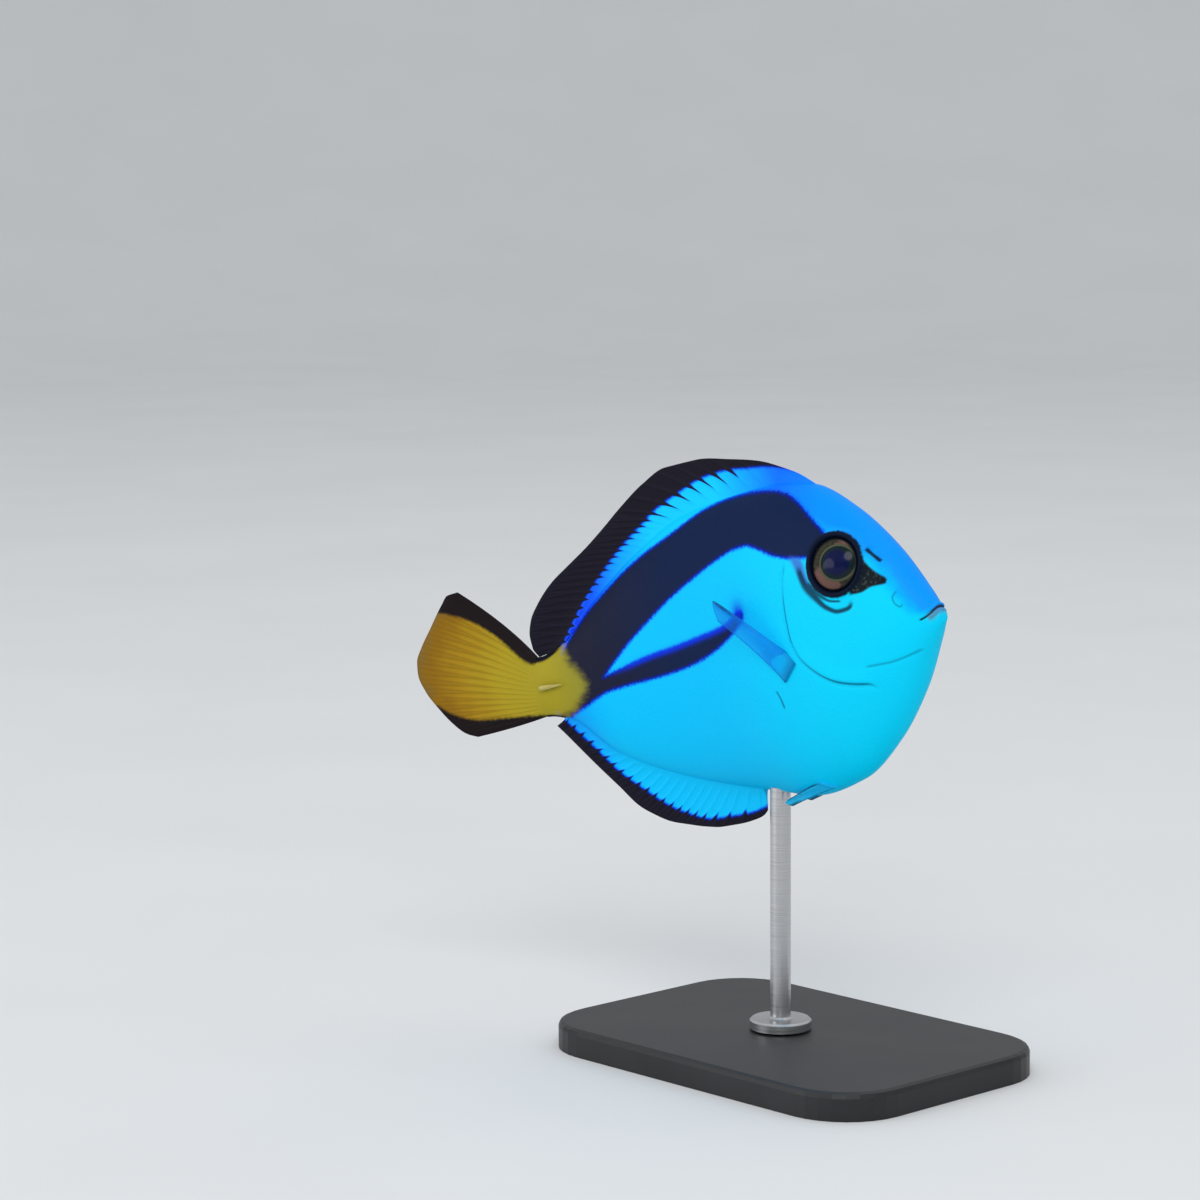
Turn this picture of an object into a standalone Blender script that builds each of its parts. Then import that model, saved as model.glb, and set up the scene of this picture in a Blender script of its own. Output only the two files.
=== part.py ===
# Regal blue tang (Paracanthurus hepatus), a still, life-size model on a display stand.
#
# The fish swims towards +X with its nose raised and its tail swept to its right side, -Y.
# It is drawn straight, in hundredths of its body length: S runs back from the snout,
# W to the fish's right and H up. place() then bends it, tilts it and sets it on the stand.
# The origin is the centre of the base's underside, and +Z is up.

import math

import bmesh
import bpy
import numpy as np
from mathutils import Matrix, Vector

# Sizes of the real thing, in metres
BODY_LENGTH = 0.080          # snout to the root of the tail fin
GAP = 0.0003                 # kept between two pieces that touch
BASE_LENGTH = 0.064
BASE_WIDTH = 0.044
BASE_HEIGHT = 0.004
BASE_CORNER = 0.010
BASE_EDGE = 0.0008
ROD_RADIUS = 0.0015
ROD_FOOT_RADIUS = 0.0045
ROD_FOOT_HEIGHT = 0.0014
FISH_HEIGHT = 0.0600         # height of the fish's pivot above the floor

# Pose, in degrees
NOSE_UP = 12.6
ROLL_TO_RIGHT = 4.6
TAIL_SWEEP = 20.0
SWEEP_FROM, SWEEP_TO = 34.7, 97.2

UNIT = BODY_LENGTH / 100
SEAM = GAP / UNIT
PIVOT_S = 45.0               # the point of the spine that the fish turns about
ROD_S = 47.3                 # where the rod meets the belly

# Outline of the body, (S, H) and (S, half width)
BACK_LINE = [(0, 1.2), (2.5, 5.2), (8, 14.1), (15, 21.5), (23, 26.5), (33, 28.1), (44, 27.6),
             (56, 26.1), (68, 21.4), (79, 14.8), (88, 7.9), (94, 5.7), (100, 6.1)]
BELLY_LINE = [(0, -1.4), (2.5, -4.7), (8, -12.5), (16, -20.3), (26, -26.1), (37, -28.0),
              (48, -26.1), (60, -23.6), (72, -19.8), (82, -14.5), (90, -7.1), (95, -5.7),
              (100, -6.1)]
HALF_WIDTH = [(0, 1.15), (3, 3.4), (8, 5.3), (16, 7.0), (26, 8.2), (36, 8.4), (50, 7.4),
              (64, 5.7), (78, 3.8), (88, 2.5), (95, 1.8), (100, 1.2)]

# Head and its parts
SNOUT_CAP = 0.35
GILL_LINE = [(26.6, 33), (27.6, 21), (28.1, 12), (28.6, 4), (28.3, -1), (26.6, -4.6), (22.6, -7.6),
             (17.6, -9.4), (14.2, -12.4), (12.3, -17), (10.8, -24)]
GILL_FLANGE = 0.45
EYE_AT = (16.6, 12.2)
EYE_RADIUS, EYE_DEPTH, EYE_SINK = 5.1, 3.0, 1.5
RIM_RADIUS, RIM_THICKNESS = 5.2, 0.62
NOSTRILS = [(10.3, 13.3, 0.46), (8.7, 11.3, 0.34)]
NOSTRIL_DEPTH = 0.9
UPPER_LIP = [(2.2, 2.6, 0.85), (1.25, 1.8, 1.4), (0.75, 1.0, 1.75), (0.6, 0, 2.0)]
LOWER_LIP = [(2.1, 2.45, -0.1), (1.15, 1.75, 0.15), (0.4, 0.95, 0.7), (0.15, 0, 0.9)]
LIP_THICKNESS = 0.48

TAIL_SEAM_S = 84.0           # where the tail's root parts from the trunk
TAIL_END_S = 97.0            # where the tail fin starts

# Fins: outline from the front of the root round to its rear, and the share of the outline
# that each share of the root reaches, because the rays lean back
DORSAL_ROOT = (22.5, 91.0)
DORSAL_EDGE = [(23, 27.2), (25.9, 28.8), (29.7, 30.5), (34.9, 32.5), (42, 34.0), (50.5, 35.3), (58, 35.2),
               (64, 33.2), (70.2, 29.8), (75, 26.7), (79.5, 23.9), (84, 21.4), (88.3, 18.9), (92, 15.7),
               (94.4, 12.6), (95.3, 9.8), (95.4, 8.2), (94.9, 6.9)]
DORSAL_LEAN = [(0, 0), (0.124, 0.147), (0.258, 0.34), (0.40, 0.48), (0.547, 0.62), (0.693, 0.752),
               (0.839, 0.884), (1, 1)]
DORSAL_RAYS = 30
ANAL_ROOT = (50.6, 91.0)
ANAL_EDGE = [(51.4, -29.5), (52.6, -30.3), (54.6, -30.8), (58, -31.2), (62.7, -31.3), (66.5, -30.8),
             (70.3, -29.9), (73.8, -28.9), (77.3, -27.0), (79.9, -25.1), (83.3, -20.9), (86.6, -16.8),
             (88.9, -13.8), (92.2, -9.4), (93.6, -7.6)]
ANAL_LEAN = [(0, 0), (0.2, 0.30), (0.4, 0.48), (0.6, 0.66), (0.8, 0.85), (1, 1)]
ANAL_RAYS = 21
CAUDAL_ROOT = (5.3, -5.3)
CAUDAL_EDGE = [(108.6, 20.8), (110.8, 20.6), (112.6, 19.0), (116, 15.2), (118.8, 12), (120.5, 9.4),
               (120.9, 6.6), (120.1, 3.6), (117.9, -0.4), (115.7, -3.5), (113.2, -5.9), (110.9, -6.9)]
CAUDAL_START = [(0, 74), (0.25, 46), (0.5, 20), (0.75, 3), (1, -9)]
CAUDAL_RAYS = 17
MEMBRANE = 0.32              # half thickness of a fin at its edge
FIN_ROOT = 0.55              # half thickness of a fin at its root
RAY_RIDGE = 0.17
RAY_TIP = 0.5                # how far a ray's tip stands past the membrane

PECTORAL_ROOT = [(28.9, -3.4), (30.5, -4.9), (32.1, -6.4)]
PECTORAL_EDGE = [(39.4, 14.5, 10.2), (41.0, 13.0, 10.1), (42.6, 11.6, 9.4), (43.4, 10.8, 8.0),
                 (43.3, 10.6, 6.4)]
PECTORAL_RAYS = 9
PECTORAL_BOW = (0, 2.0, 3.5)
PELVIC_ROOT = [(31.2, -78), (32.6, -72), (34.0, -66)]
PELVIC_EDGE = [(42.2, 2.5, -29.4), (43.8, 2.3, -28.6), (44.2, 2.6, -27.6), (43.2, 3.3, -26.6)]
PELVIC_RAYS = 4
PELVIC_BOW = (0, 1.6, 0)

SPINE_FROM, SPINE_TO = 89.0, 94.6
SPINE_HEIGHT, SPINE_THICKNESS = 0.62, 0.42


def smooth_curve(points):
    """A smooth curve through (x, y) points that doesn't overshoot them."""
    x, y = np.array(points, float).T
    step = np.diff(x)
    rise = np.diff(y) / step
    slope = np.zeros(len(x))
    slope[0], slope[-1] = rise[0], rise[-1]
    before, after = rise[:-1], rise[1:]
    a, b = 2 * step[1:] + step[:-1], step[1:] + 2 * step[:-1]
    same_way = before * after > 0
    mean = (a + b)[same_way] / (a[same_way] / before[same_way] + b[same_way] / after[same_way])
    slope[1:-1][same_way] = mean

    def value(at):
        at = np.asarray(at, float)
        i = np.clip(np.searchsorted(x, at) - 1, 0, len(step) - 1)
        t = np.clip((at - x[i]) / step[i], 0, 1)
        past = at - np.clip(at, x[0], x[-1])
        ends = np.where(past < 0, slope[0], slope[-1])
        return (y[i] * (1 + 2 * t) * (1 - t) ** 2 + y[i + 1] * t * t * (3 - 2 * t)
                + step[i] * (slope[i] * t * (1 - t) ** 2 - slope[i + 1] * t * t * (1 - t)) + ends * past)
    return value


def smooth_path(points):
    """A smooth path through points, measured from 0 to 1 along its length."""
    points = np.array(points, float)
    along = np.concatenate([[0], np.cumsum(np.linalg.norm(np.diff(points, axis=0), axis=1))])
    along /= along[-1]
    parts = [smooth_curve(np.column_stack([along, column])) for column in points.T]
    return lambda t: np.stack([part(t) for part in parts], axis=-1)


def ease(low, high, at):
    t = np.clip((np.asarray(at, float) - low) / (high - low), 0, 1)
    return t * t * (3 - 2 * t)


back_height = smooth_curve(BACK_LINE)
belly_height = smooth_curve(BELLY_LINE)
half_width = smooth_curve(HALF_WIDTH)


def section(s, grow=0.0):
    """Middle height, half height, half width and the two powers of the body's section at s."""
    cap = np.sqrt(np.clip(1 - (np.minimum(s, 0) / SNOUT_CAP) ** 2, 0, 1))
    inside = np.maximum(s, 0)
    top, bottom = back_height(inside), belly_height(inside)
    keel = ease(0, 14, s)
    middle = (top + bottom) / 2
    return (middle, cap * (top - bottom) / 2 + grow, cap * half_width(inside) + grow,
            1 + 0.15 * keel, 1 - 0.05 * keel)


def skin_point(s, angle, grow=0.0):
    """The point of the skin at s and at an angle round the section, 0 on the right side."""
    middle, half, wide, power_w, power_h = section(s, grow)
    c, d = math.cos(angle), math.sin(angle)
    w = wide * math.copysign(abs(c) ** power_w, c)
    h = middle + half * math.copysign(abs(d) ** power_h, d)
    return np.array([s, w, h])


def flank(s, h):
    """Half width of the body at s and height h."""
    middle, half, wide, power_w, power_h = section(s)
    share = np.clip(np.abs((h - middle) / half), 0, 0.9999) ** (1 / power_h)
    return wide * (1 - share ** 2) ** (power_w / 2)


def ridge(s, w, side):
    """Height of the back (side 1) or the belly (side -1) at s, a distance w from the middle."""
    middle, half, wide, power_w, power_h = section(s)
    share = np.clip(abs(w) / wide, 0, 1) ** (1 / power_w)
    return middle + side * half * (1 - share ** 2) ** (power_h / 2)


def clear_of_skin(point, margin, seated=False):
    """Moves a point that is nearer to the skin than the margin out of it, or seats it there."""
    s, w, h = point
    middle, half, wide, power_w, power_h = section(s, margin)
    power_w, power_h = 2 / power_w, 2 / power_h
    for _ in range(8):
        share_w, share_h = abs(w) / wide, abs(h - middle) / half
        over = share_w ** power_w + share_h ** power_h - 1
        if over > 0 and not seated:
            break
        slope_w = math.copysign(power_w * share_w ** (power_w - 1) / wide, w)
        slope_h = math.copysign(power_h * share_h ** (power_h - 1) / half, h - middle)
        move = over / (slope_w ** 2 + slope_h ** 2)
        w, h = w - move * slope_w, h - move * slope_h
    return np.array([s, w, h])


# The spine's line once the tail is swept, at every tenth of a unit
spine_s = np.arange(-10.0, 140.0, 0.1)
spine_turn = math.radians(TAIL_SWEEP) * ease(SWEEP_FROM, SWEEP_TO, spine_s)
spine_x = -np.cumsum(np.cos(spine_turn)) * 0.1
spine_y = -np.cumsum(np.sin(spine_turn)) * 0.1
spine_x -= np.interp(0, spine_s, spine_x)
spine_y -= np.interp(0, spine_s, spine_y)
fish_turn = Matrix.Rotation(-math.radians(NOSE_UP), 4, "Y") @ Matrix.Rotation(math.radians(ROLL_TO_RIGHT), 4, "X")
fish_turn = np.array(fish_turn.to_3x3())


def place(points):
    """Drawing points (s, w, h) as metres in the model's own frame."""
    s, w, h = np.array(points, float).T
    turn = np.interp(s, spine_s, spine_turn)
    x = np.interp(s, spine_s, spine_x) + w * np.sin(turn) + PIVOT_S
    y = np.interp(s, spine_s, spine_y) - w * np.cos(turn)
    tilted = np.stack([x, y, h], axis=-1) @ fish_turn.T
    return (tilted - stand_offset) * UNIT


# The rod's foot is the middle of the base, and the pivot is at its own height
stand_offset = np.zeros(3)
rod_point = place([(ROD_S, 0, float(belly_height(ROD_S)))])[0] / UNIT
stand_offset = np.array([rod_point[0] + 2.5, rod_point[1], -FISH_HEIGHT / UNIT])


def face_out(bm):
    """Turns every face of a closed shape outwards."""
    bmesh.ops.recalc_face_normals(bm, faces=bm.faces)
    if bm.calc_volume(signed=True) < 0:
        bmesh.ops.reverse_faces(bm, faces=bm.faces)


def link(name, bm):
    """Makes an object of a bmesh."""
    mesh = bpy.data.meshes.new(name)
    bm.to_mesh(mesh)
    bm.free()
    obj = bpy.data.objects.new(name, mesh)
    bpy.context.scene.collection.objects.link(obj)
    return obj


def bake_modifiers(obj):
    graph = bpy.context.evaluated_depsgraph_get()
    mesh = bpy.data.meshes.new_from_object(obj.evaluated_get(graph))
    obj.modifiers.clear()
    obj.data = mesh


def combine(obj, others, operation):
    """Joins, cuts or keeps the common part of obj and other closed objects, then removes those."""
    group = bpy.data.collections.new("group")
    for other in others:
        group.objects.link(other)
    boolean = obj.modifiers.new("combine", "BOOLEAN")
    boolean.operation = operation
    boolean.operand_type = "COLLECTION"
    boolean.collection = group
    bake_modifiers(obj)
    for other in others:
        bpy.data.objects.remove(other)
    bpy.data.collections.remove(group)


def largest_body(bm):
    """Deletes every closed surface but the largest."""
    left = set(bm.faces)
    bodies = []
    while left:
        stack = [left.pop()]
        body = []
        while stack:
            face = stack.pop()
            body.append(face)
            for edge in face.edges:
                for other in edge.link_faces:
                    if other in left:
                        left.remove(other)
                        stack.append(other)
        bodies.append(body)
    bodies.sort(key=lambda body: sum(face.calc_area() for face in body))
    for body in bodies[:-1]:
        bmesh.ops.delete(bm, geom=body, context="FACES")
    loose = [vert for vert in bm.verts if not vert.link_faces]
    bmesh.ops.delete(bm, geom=loose, context="VERTS")


def paint(obj, colour, roughness, metallic=0.0):
    material = bpy.data.materials.new(obj.name + "_finish")
    material.use_nodes = True
    shader = material.node_tree.nodes["Principled BSDF"]
    shader.inputs["Base Color"].default_value = (*colour, 1)
    shader.inputs["Roughness"].default_value = roughness
    shader.inputs["Metallic"].default_value = metallic
    obj.data.materials.clear()
    obj.data.materials.append(material)


def finish(obj, colour, roughness=0.35, metallic=0.0, drawn=True):
    """Cleans a piece, bends and places it where it was drawn straight, and gives it its colour."""
    bm = bmesh.new()
    bm.from_mesh(obj.data)
    tiny = 0.0015 if drawn else 0.0000012
    bmesh.ops.remove_doubles(bm, verts=bm.verts, dist=tiny)
    bmesh.ops.dissolve_degenerate(bm, edges=bm.edges, dist=tiny)
    bmesh.ops.triangulate(bm, faces=bm.faces)
    largest_body(bm)
    if drawn:
        for vert, point in zip(bm.verts, place([vert.co for vert in bm.verts])):
            vert.co = point
    face_out(bm)
    bm.to_mesh(obj.data)
    bm.free()
    obj.data.shade_smooth()
    obj.data.set_sharp_from_angle(angle=math.radians(42))
    paint(obj, colour, roughness, metallic)
    print(obj.name, len(obj.data.polygons), "triangles")


def sphere_rows(rows, columns, where):
    """A closed shape of rows and columns: a sphere whose points where(row, angle) moves."""
    bm = bmesh.new()
    bmesh.ops.create_uvsphere(bm, u_segments=columns, v_segments=rows, radius=1)
    for vert in bm.verts:
        row = round(math.acos(max(-1, min(1, vert.co.z))) / math.pi * rows)
        vert.co = where(row, math.atan2(vert.co.y, -vert.co.x))
    face_out(bm)
    return bm


def body_length(stations, columns, grow=0.0, flange=0.0):
    """A length of the body between its first and last station, closed at both ends."""
    last = len(stations) - 1

    def where(row, angle):
        s = stations[row]
        point = skin_point(s, angle, grow)
        if row in (0, last):
            point[1:] = 0, section(s)[0]
        elif flange:
            point[1] += math.copysign(gill_lift(point, flange), point[1])
        return point
    return sphere_rows(last, columns, where)


gill_path = smooth_path(GILL_LINE)
gill_points = gill_path(np.linspace(0, 1, 120))


def gill_lift(point, lift):
    """How far the skin stands out beside the gill opening."""
    away = np.min(np.hypot(gill_points[:, 0] - point[0], gill_points[:, 1] - point[2]))
    along = ease(-12, -8, point[2]) * ease(11, 6, point[2])
    return lift * along * math.exp(-(away / 1.7) ** 2)


def front_region(offset):
    """All that lies in front of the gill opening, its rear wall moved back by the offset."""
    t = np.linspace(0, 1, 34)
    line = gill_path(t)
    heading = np.gradient(line, axis=0)
    heading /= np.linalg.norm(heading, axis=1)[:, None]
    line = line + offset * np.column_stack([-heading[:, 1], heading[:, 0]])
    corners = [(-12, line[-1][1]), (-12, line[0][1])]
    bm = bmesh.new()
    rim = [bm.verts.new((s, -16, h)) for s, h in [*line, *corners]]
    wall = bm.faces.new(rim)
    moved = bmesh.ops.extrude_face_region(bm, geom=[wall])["geom"]
    verts = [item for item in moved if isinstance(item, bmesh.types.BMVert)]
    bmesh.ops.translate(bm, verts=verts, vec=(0, 32, 0))
    face_out(bm)
    return link("front_region", bm)


def side_frame(s, h, side):
    """Axes on the skin of a side at (s, h): back, up and out, with the skin's own point."""
    step = 0.4
    slope_s = (flank(s + step, h) - flank(s - step, h)) / (2 * step)
    slope_h = (flank(s, h + step) - flank(s, h - step)) / (2 * step)
    out = Vector((-slope_s, side, -slope_h)).normalized()
    up = (Vector((0, 0, 1)) - out * out.z).normalized()
    back = up.cross(out)
    frame = Matrix((back, up, out)).transposed().to_4x4()
    frame.translation = (s, side * flank(s, h), h)
    return frame


def eye_ball(side, grow):
    bm = bmesh.new()
    bmesh.ops.create_uvsphere(bm, u_segments=28, v_segments=12, radius=1)
    stretch = Matrix.Diagonal((EYE_RADIUS + grow, EYE_RADIUS + grow, EYE_DEPTH + grow, 1))
    sunk = Matrix.Translation((0, 0, -EYE_SINK))
    bmesh.ops.transform(bm, matrix=side_frame(*EYE_AT, side) @ sunk @ stretch, verts=bm.verts)
    face_out(bm)
    return bm


def eye_rim(side):
    """The ring of skin that stands round the eye."""
    bm = bmesh.new()
    ring = bmesh.ops.create_circle(bm, segments=8, radius=RIM_THICKNESS)["verts"]
    upright = Matrix.Translation((RIM_RADIUS, 0, 0)) @ Matrix.Rotation(math.pi / 2, 4, "X")
    bmesh.ops.transform(bm, matrix=upright, verts=ring)
    bmesh.ops.spin(bm, geom=bm.edges[:], axis=(0, 0, 1), angle=2 * math.pi, steps=28, use_merge=True)
    bmesh.ops.transform(bm, matrix=side_frame(*EYE_AT, side), verts=bm.verts)
    face_out(bm)
    return link("eye_rim", bm)


def lip(line):
    """A lip from the left corner of the mouth round its front to the right corner."""
    right = [(s, w, h) for s, w, h in line]
    left = [(s, -w, h) for s, w, h in line[-2::-1]]
    path = smooth_path(right + left)
    rows = 16

    def where(row, angle):
        t = row / rows
        ahead = path(min(t + 0.01, 1)) - path(max(t - 0.01, 0))
        along = Vector(ahead).normalized()
        up = (Vector((0, 0, 1)) - along * along.z).normalized()
        across = along.cross(up)
        round_end = math.sqrt(max(0, 1 - abs(2 * t - 1) ** 6))
        thick = LIP_THICKNESS * (0.62 + 0.38 * math.sin(math.pi * t)) * round_end
        return Vector(path(t)) + thick * (across * math.cos(angle) + up * math.sin(angle))
    return link("lip", sphere_rows(rows, 10, where))


def nostril(s, h, radius, side):
    bm = bmesh.new()
    bmesh.ops.create_cone(bm, segments=10, cap_ends=True, radius1=0.6 * radius, radius2=radius,
                          depth=2 * NOSTRIL_DEPTH)
    bmesh.ops.transform(bm, matrix=side_frame(s, h, side), verts=bm.verts)
    return link("nostril", bm)


def make_head():
    stations = [-SNOUT_CAP, -0.2, 0.3, 1.2, 2.4, 3.8, *np.arange(5.4, 33, 1.55)]
    head = link("head", body_length(stations, 44, flange=GILL_FLANGE))
    sides = (1, -1)
    combine(head, [lip(UPPER_LIP), lip(LOWER_LIP), *(eye_rim(side) for side in sides)], "UNION")
    pits = [nostril(*pit, side) for pit in NOSTRILS for side in sides]
    sockets = [link("socket", eye_ball(side, SEAM)) for side in sides]
    combine(head, pits + sockets, "DIFFERENCE")
    combine(head, [front_region(-SEAM / 2)], "INTERSECT")
    finish(head, (0.0, 0.42, 0.95))
    for side, word in zip(sides, ("right", "left")):
        finish(link("eye_" + word, eye_ball(side, 0)), (0.02, 0.03, 0.09), roughness=0.1)


def make_trunk():
    stations = [8, 8, *np.arange(11, TAIL_SEAM_S - 1, 3.1), TAIL_SEAM_S - SEAM / 2]
    stations.append(stations[-1])
    trunk = link("trunk", body_length(stations, 36, flange=-0.3))
    combine(trunk, [front_region(SEAM / 2)], "DIFFERENCE")
    finish(trunk, (0.0, 0.5, 1.0))


def make_tail_root():
    stations = [*np.linspace(TAIL_SEAM_S + SEAM / 2, TAIL_END_S, 7)]
    stations = [stations[0], *stations, stations[-1]]
    finish(link("tail_root", body_length(stations, 28)), (0.75, 0.6, 0.05))


def fin_slab(name, rays, rows, middle, half_thick, settle=None):
    """A closed fin: a grid with a column on each ray and each membrane, and alike on both faces.

    middle(u, v) is the fin's mid surface, with u across the rays and v along them. Columns on
    rays stand out as ridges. settle(point, side) sets the root's points on the body.
    """
    columns = 2 * (rays - 1)
    bm = bmesh.new()
    bmesh.ops.create_grid(bm, x_segments=columns, y_segments=rows, size=1)
    bmesh.ops.triangulate(bm, faces=bm.faces, quad_method="FIXED")
    faces = bm.faces[:]
    copy = bmesh.ops.duplicate(bm, geom=bm.verts[:] + bm.edges[:] + faces)["geom"]
    bmesh.ops.translate(bm, verts=[item for item in copy if isinstance(item, bmesh.types.BMVert)], vec=(0, 0, 1))
    rims = [edge for edge in bm.edges if edge.is_boundary]
    bmesh.ops.bridge_loops(bm, edges=rims)
    under_root = [edge for edge in bm.edges
                  if edge.calc_length() > 0.99 and max(vert.co.y for vert in edge.verts) < -0.999]
    bmesh.ops.subdivide_edges(bm, edges=[edge for edge in under_root if abs(
        edge.verts[0].co.z - edge.verts[1].co.z) > 0.5], cuts=1)
    step = 0.004
    for vert in bm.verts:
        u, v = (vert.co.x + 1) / 2, (vert.co.y + 1) / 2
        face_side = 2 * vert.co.z - 1
        on_ray = round(u * columns) % 2 == 0
        across = middle(min(u + step, 1), v) - middle(max(u - step, 0), v)
        along = middle(u, min(v + step, 1)) - middle(u, max(v - step, 0))
        normal = np.cross(across, along)
        normal /= np.linalg.norm(normal)
        outward = along / np.linalg.norm(along)
        thick = half_thick(u, v) + (RAY_RIDGE * (1 - 0.5 * v) if on_ray else 0)
        point = middle(u, v) + face_side * thick * normal
        if on_ray:
            point += outward * RAY_TIP * ease(0.8, 1, v)
        if settle:
            point = settle(point, v)
        vert.co = point
    face_out(bm)
    return link(name, bm)


def unpaired_fin(name, side, root, edge, lean, rays, rows, colour):
    """A dorsal fin (side 1) or an anal fin (side -1), rooted all along the body."""
    edge_path = smooth_path(edge)
    reach = smooth_curve(lean)

    def middle(u, v):
        s = root[0] + u * (root[1] - root[0])
        start = np.array([s, float(ridge(s, 0, side)) + side * SEAM])
        tip = edge_path(float(reach(u)))
        sag = 0.10 * np.linalg.norm(tip - start) * v * (1 - v)
        s, h = start + v * (tip - start)
        return np.array([s - 0.5 * sag, 0, h + side * sag])

    def half_thick(u, v):
        return MEMBRANE + (FIN_ROOT - MEMBRANE) * (1 - v) ** 2

    def settle(point, v):
        if v < 0.001:
            point[2] = float(ridge(point[0], point[1], side)) + side * SEAM
        return point
    finish(fin_slab(name, rays, rows, middle, half_thick, settle), colour)


def make_caudal_fin():
    edge_path = smooth_path(CAUDAL_EDGE)
    start_angle = smooth_curve(CAUDAL_START)
    root_s = TAIL_END_S + SEAM

    def middle(u, v):
        root = np.array([root_s, CAUDAL_ROOT[0] + u * (CAUDAL_ROOT[1] - CAUDAL_ROOT[0])])
        tip = edge_path(u)
        angle = math.radians(float(start_angle(u)))
        bend = root + 0.42 * np.linalg.norm(tip - root) * np.array([math.cos(angle), math.sin(angle)])
        s, h = (1 - v) ** 2 * root + 2 * v * (1 - v) * bend + v * v * tip
        return np.array([s, 0, h])

    def half_thick(u, v):
        root_h = CAUDAL_ROOT[0] + u * (CAUDAL_ROOT[1] - CAUDAL_ROOT[0])
        root_thick = max(float(flank(TAIL_END_S, root_h)) - RAY_RIDGE, MEMBRANE)
        return MEMBRANE + (root_thick - MEMBRANE) * (1 - v) ** 5

    def settle(point, v):
        if v < 0.001:
            point[0] = root_s
        return point
    finish(fin_slab("caudal_fin", CAUDAL_RAYS, 8, middle, half_thick, settle), (0.8, 0.62, 0.05))


def paired_fin(name, side, root_path, edge, rays, rows, bow, colour):
    """A pectoral or a pelvic fin, a fan that stands out from the body's side."""
    edge_path = smooth_path(edge)

    def middle(u, v):
        start = root_path(u)
        tip = edge_path(u)
        return start + v * (tip - start) + v * (1 - v) * np.array(bow)

    def half_thick(u, v):
        return MEMBRANE + (FIN_ROOT - MEMBRANE) * (1 - v) ** 2

    def settle(point, v):
        return clear_of_skin(point, SEAM, seated=v < 0.001) * np.array([1, side, 1])
    finish(fin_slab(name, rays, rows, middle, half_thick, settle), colour)


def pectoral_root(u):
    s, h = smooth_path(PECTORAL_ROOT)(u)
    return np.array([s, float(flank(s, h)) + SEAM, h])


def pelvic_root(u):
    s, angle = smooth_path(PELVIC_ROOT)(u)
    return skin_point(float(s), math.radians(float(angle)), SEAM)


def make_fins():
    margin, hyaline = (0.01, 0.02, 0.08), (0.0, 0.35, 0.85)
    unpaired_fin("dorsal_fin", 1, DORSAL_ROOT, DORSAL_EDGE, DORSAL_LEAN, DORSAL_RAYS, 5, margin)
    unpaired_fin("anal_fin", -1, ANAL_ROOT, ANAL_EDGE, ANAL_LEAN, ANAL_RAYS, 5, margin)
    make_caudal_fin()
    for side, word in ((1, "right"), (-1, "left")):
        paired_fin("pectoral_fin_" + word, side, pectoral_root, PECTORAL_EDGE, PECTORAL_RAYS, 7, PECTORAL_BOW,
                   hyaline)
        paired_fin("pelvic_fin_" + word, side, pelvic_root, PELVIC_EDGE, PELVIC_RAYS, 5, PELVIC_BOW, hyaline)


def make_tail_spine(side, word):
    """The blade that lies folded along the tail's root, its point forward."""
    rows = 8

    def where(row, angle):
        t = row / rows
        s = SPINE_FROM + t * (SPINE_TO - SPINE_FROM)
        size = t ** 0.7 if row < rows else 0
        h = size * SPINE_HEIGHT * math.sin(angle)
        out = size * SPINE_THICKNESS * math.cos(angle)
        skin = float(flank(s, 0)) + SEAM + SPINE_THICKNESS
        return Vector((s, side * (skin + 0.02 * (SPINE_TO - s) + out), h))
    finish(link("tail_spine_" + word, sphere_rows(rows, 8, where)), (0.85, 0.75, 0.35))


def make_base():
    bm = bmesh.new()
    bmesh.ops.create_cube(bm, size=1)
    size = Matrix.Diagonal((BASE_LENGTH, BASE_WIDTH, BASE_HEIGHT, 1))
    bmesh.ops.transform(bm, matrix=Matrix.Translation((0, 0, BASE_HEIGHT / 2)) @ size, verts=bm.verts)
    upright = [edge for edge in bm.edges if abs(edge.verts[0].co.z - edge.verts[1].co.z) > BASE_HEIGHT / 2]
    bmesh.ops.bevel(bm, geom=upright, offset=BASE_CORNER, segments=8, affect="EDGES", profile=0.5, material=-1)
    top = [edge for edge in bm.edges if min(vert.co.z for vert in edge.verts) > BASE_HEIGHT * 0.99]
    bmesh.ops.bevel(bm, geom=top, offset=BASE_EDGE, segments=2, affect="EDGES", profile=0.5, material=-1)
    finish(link("stand_base", bm), (0.02, 0.02, 0.022), roughness=0.45, drawn=False)


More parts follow.
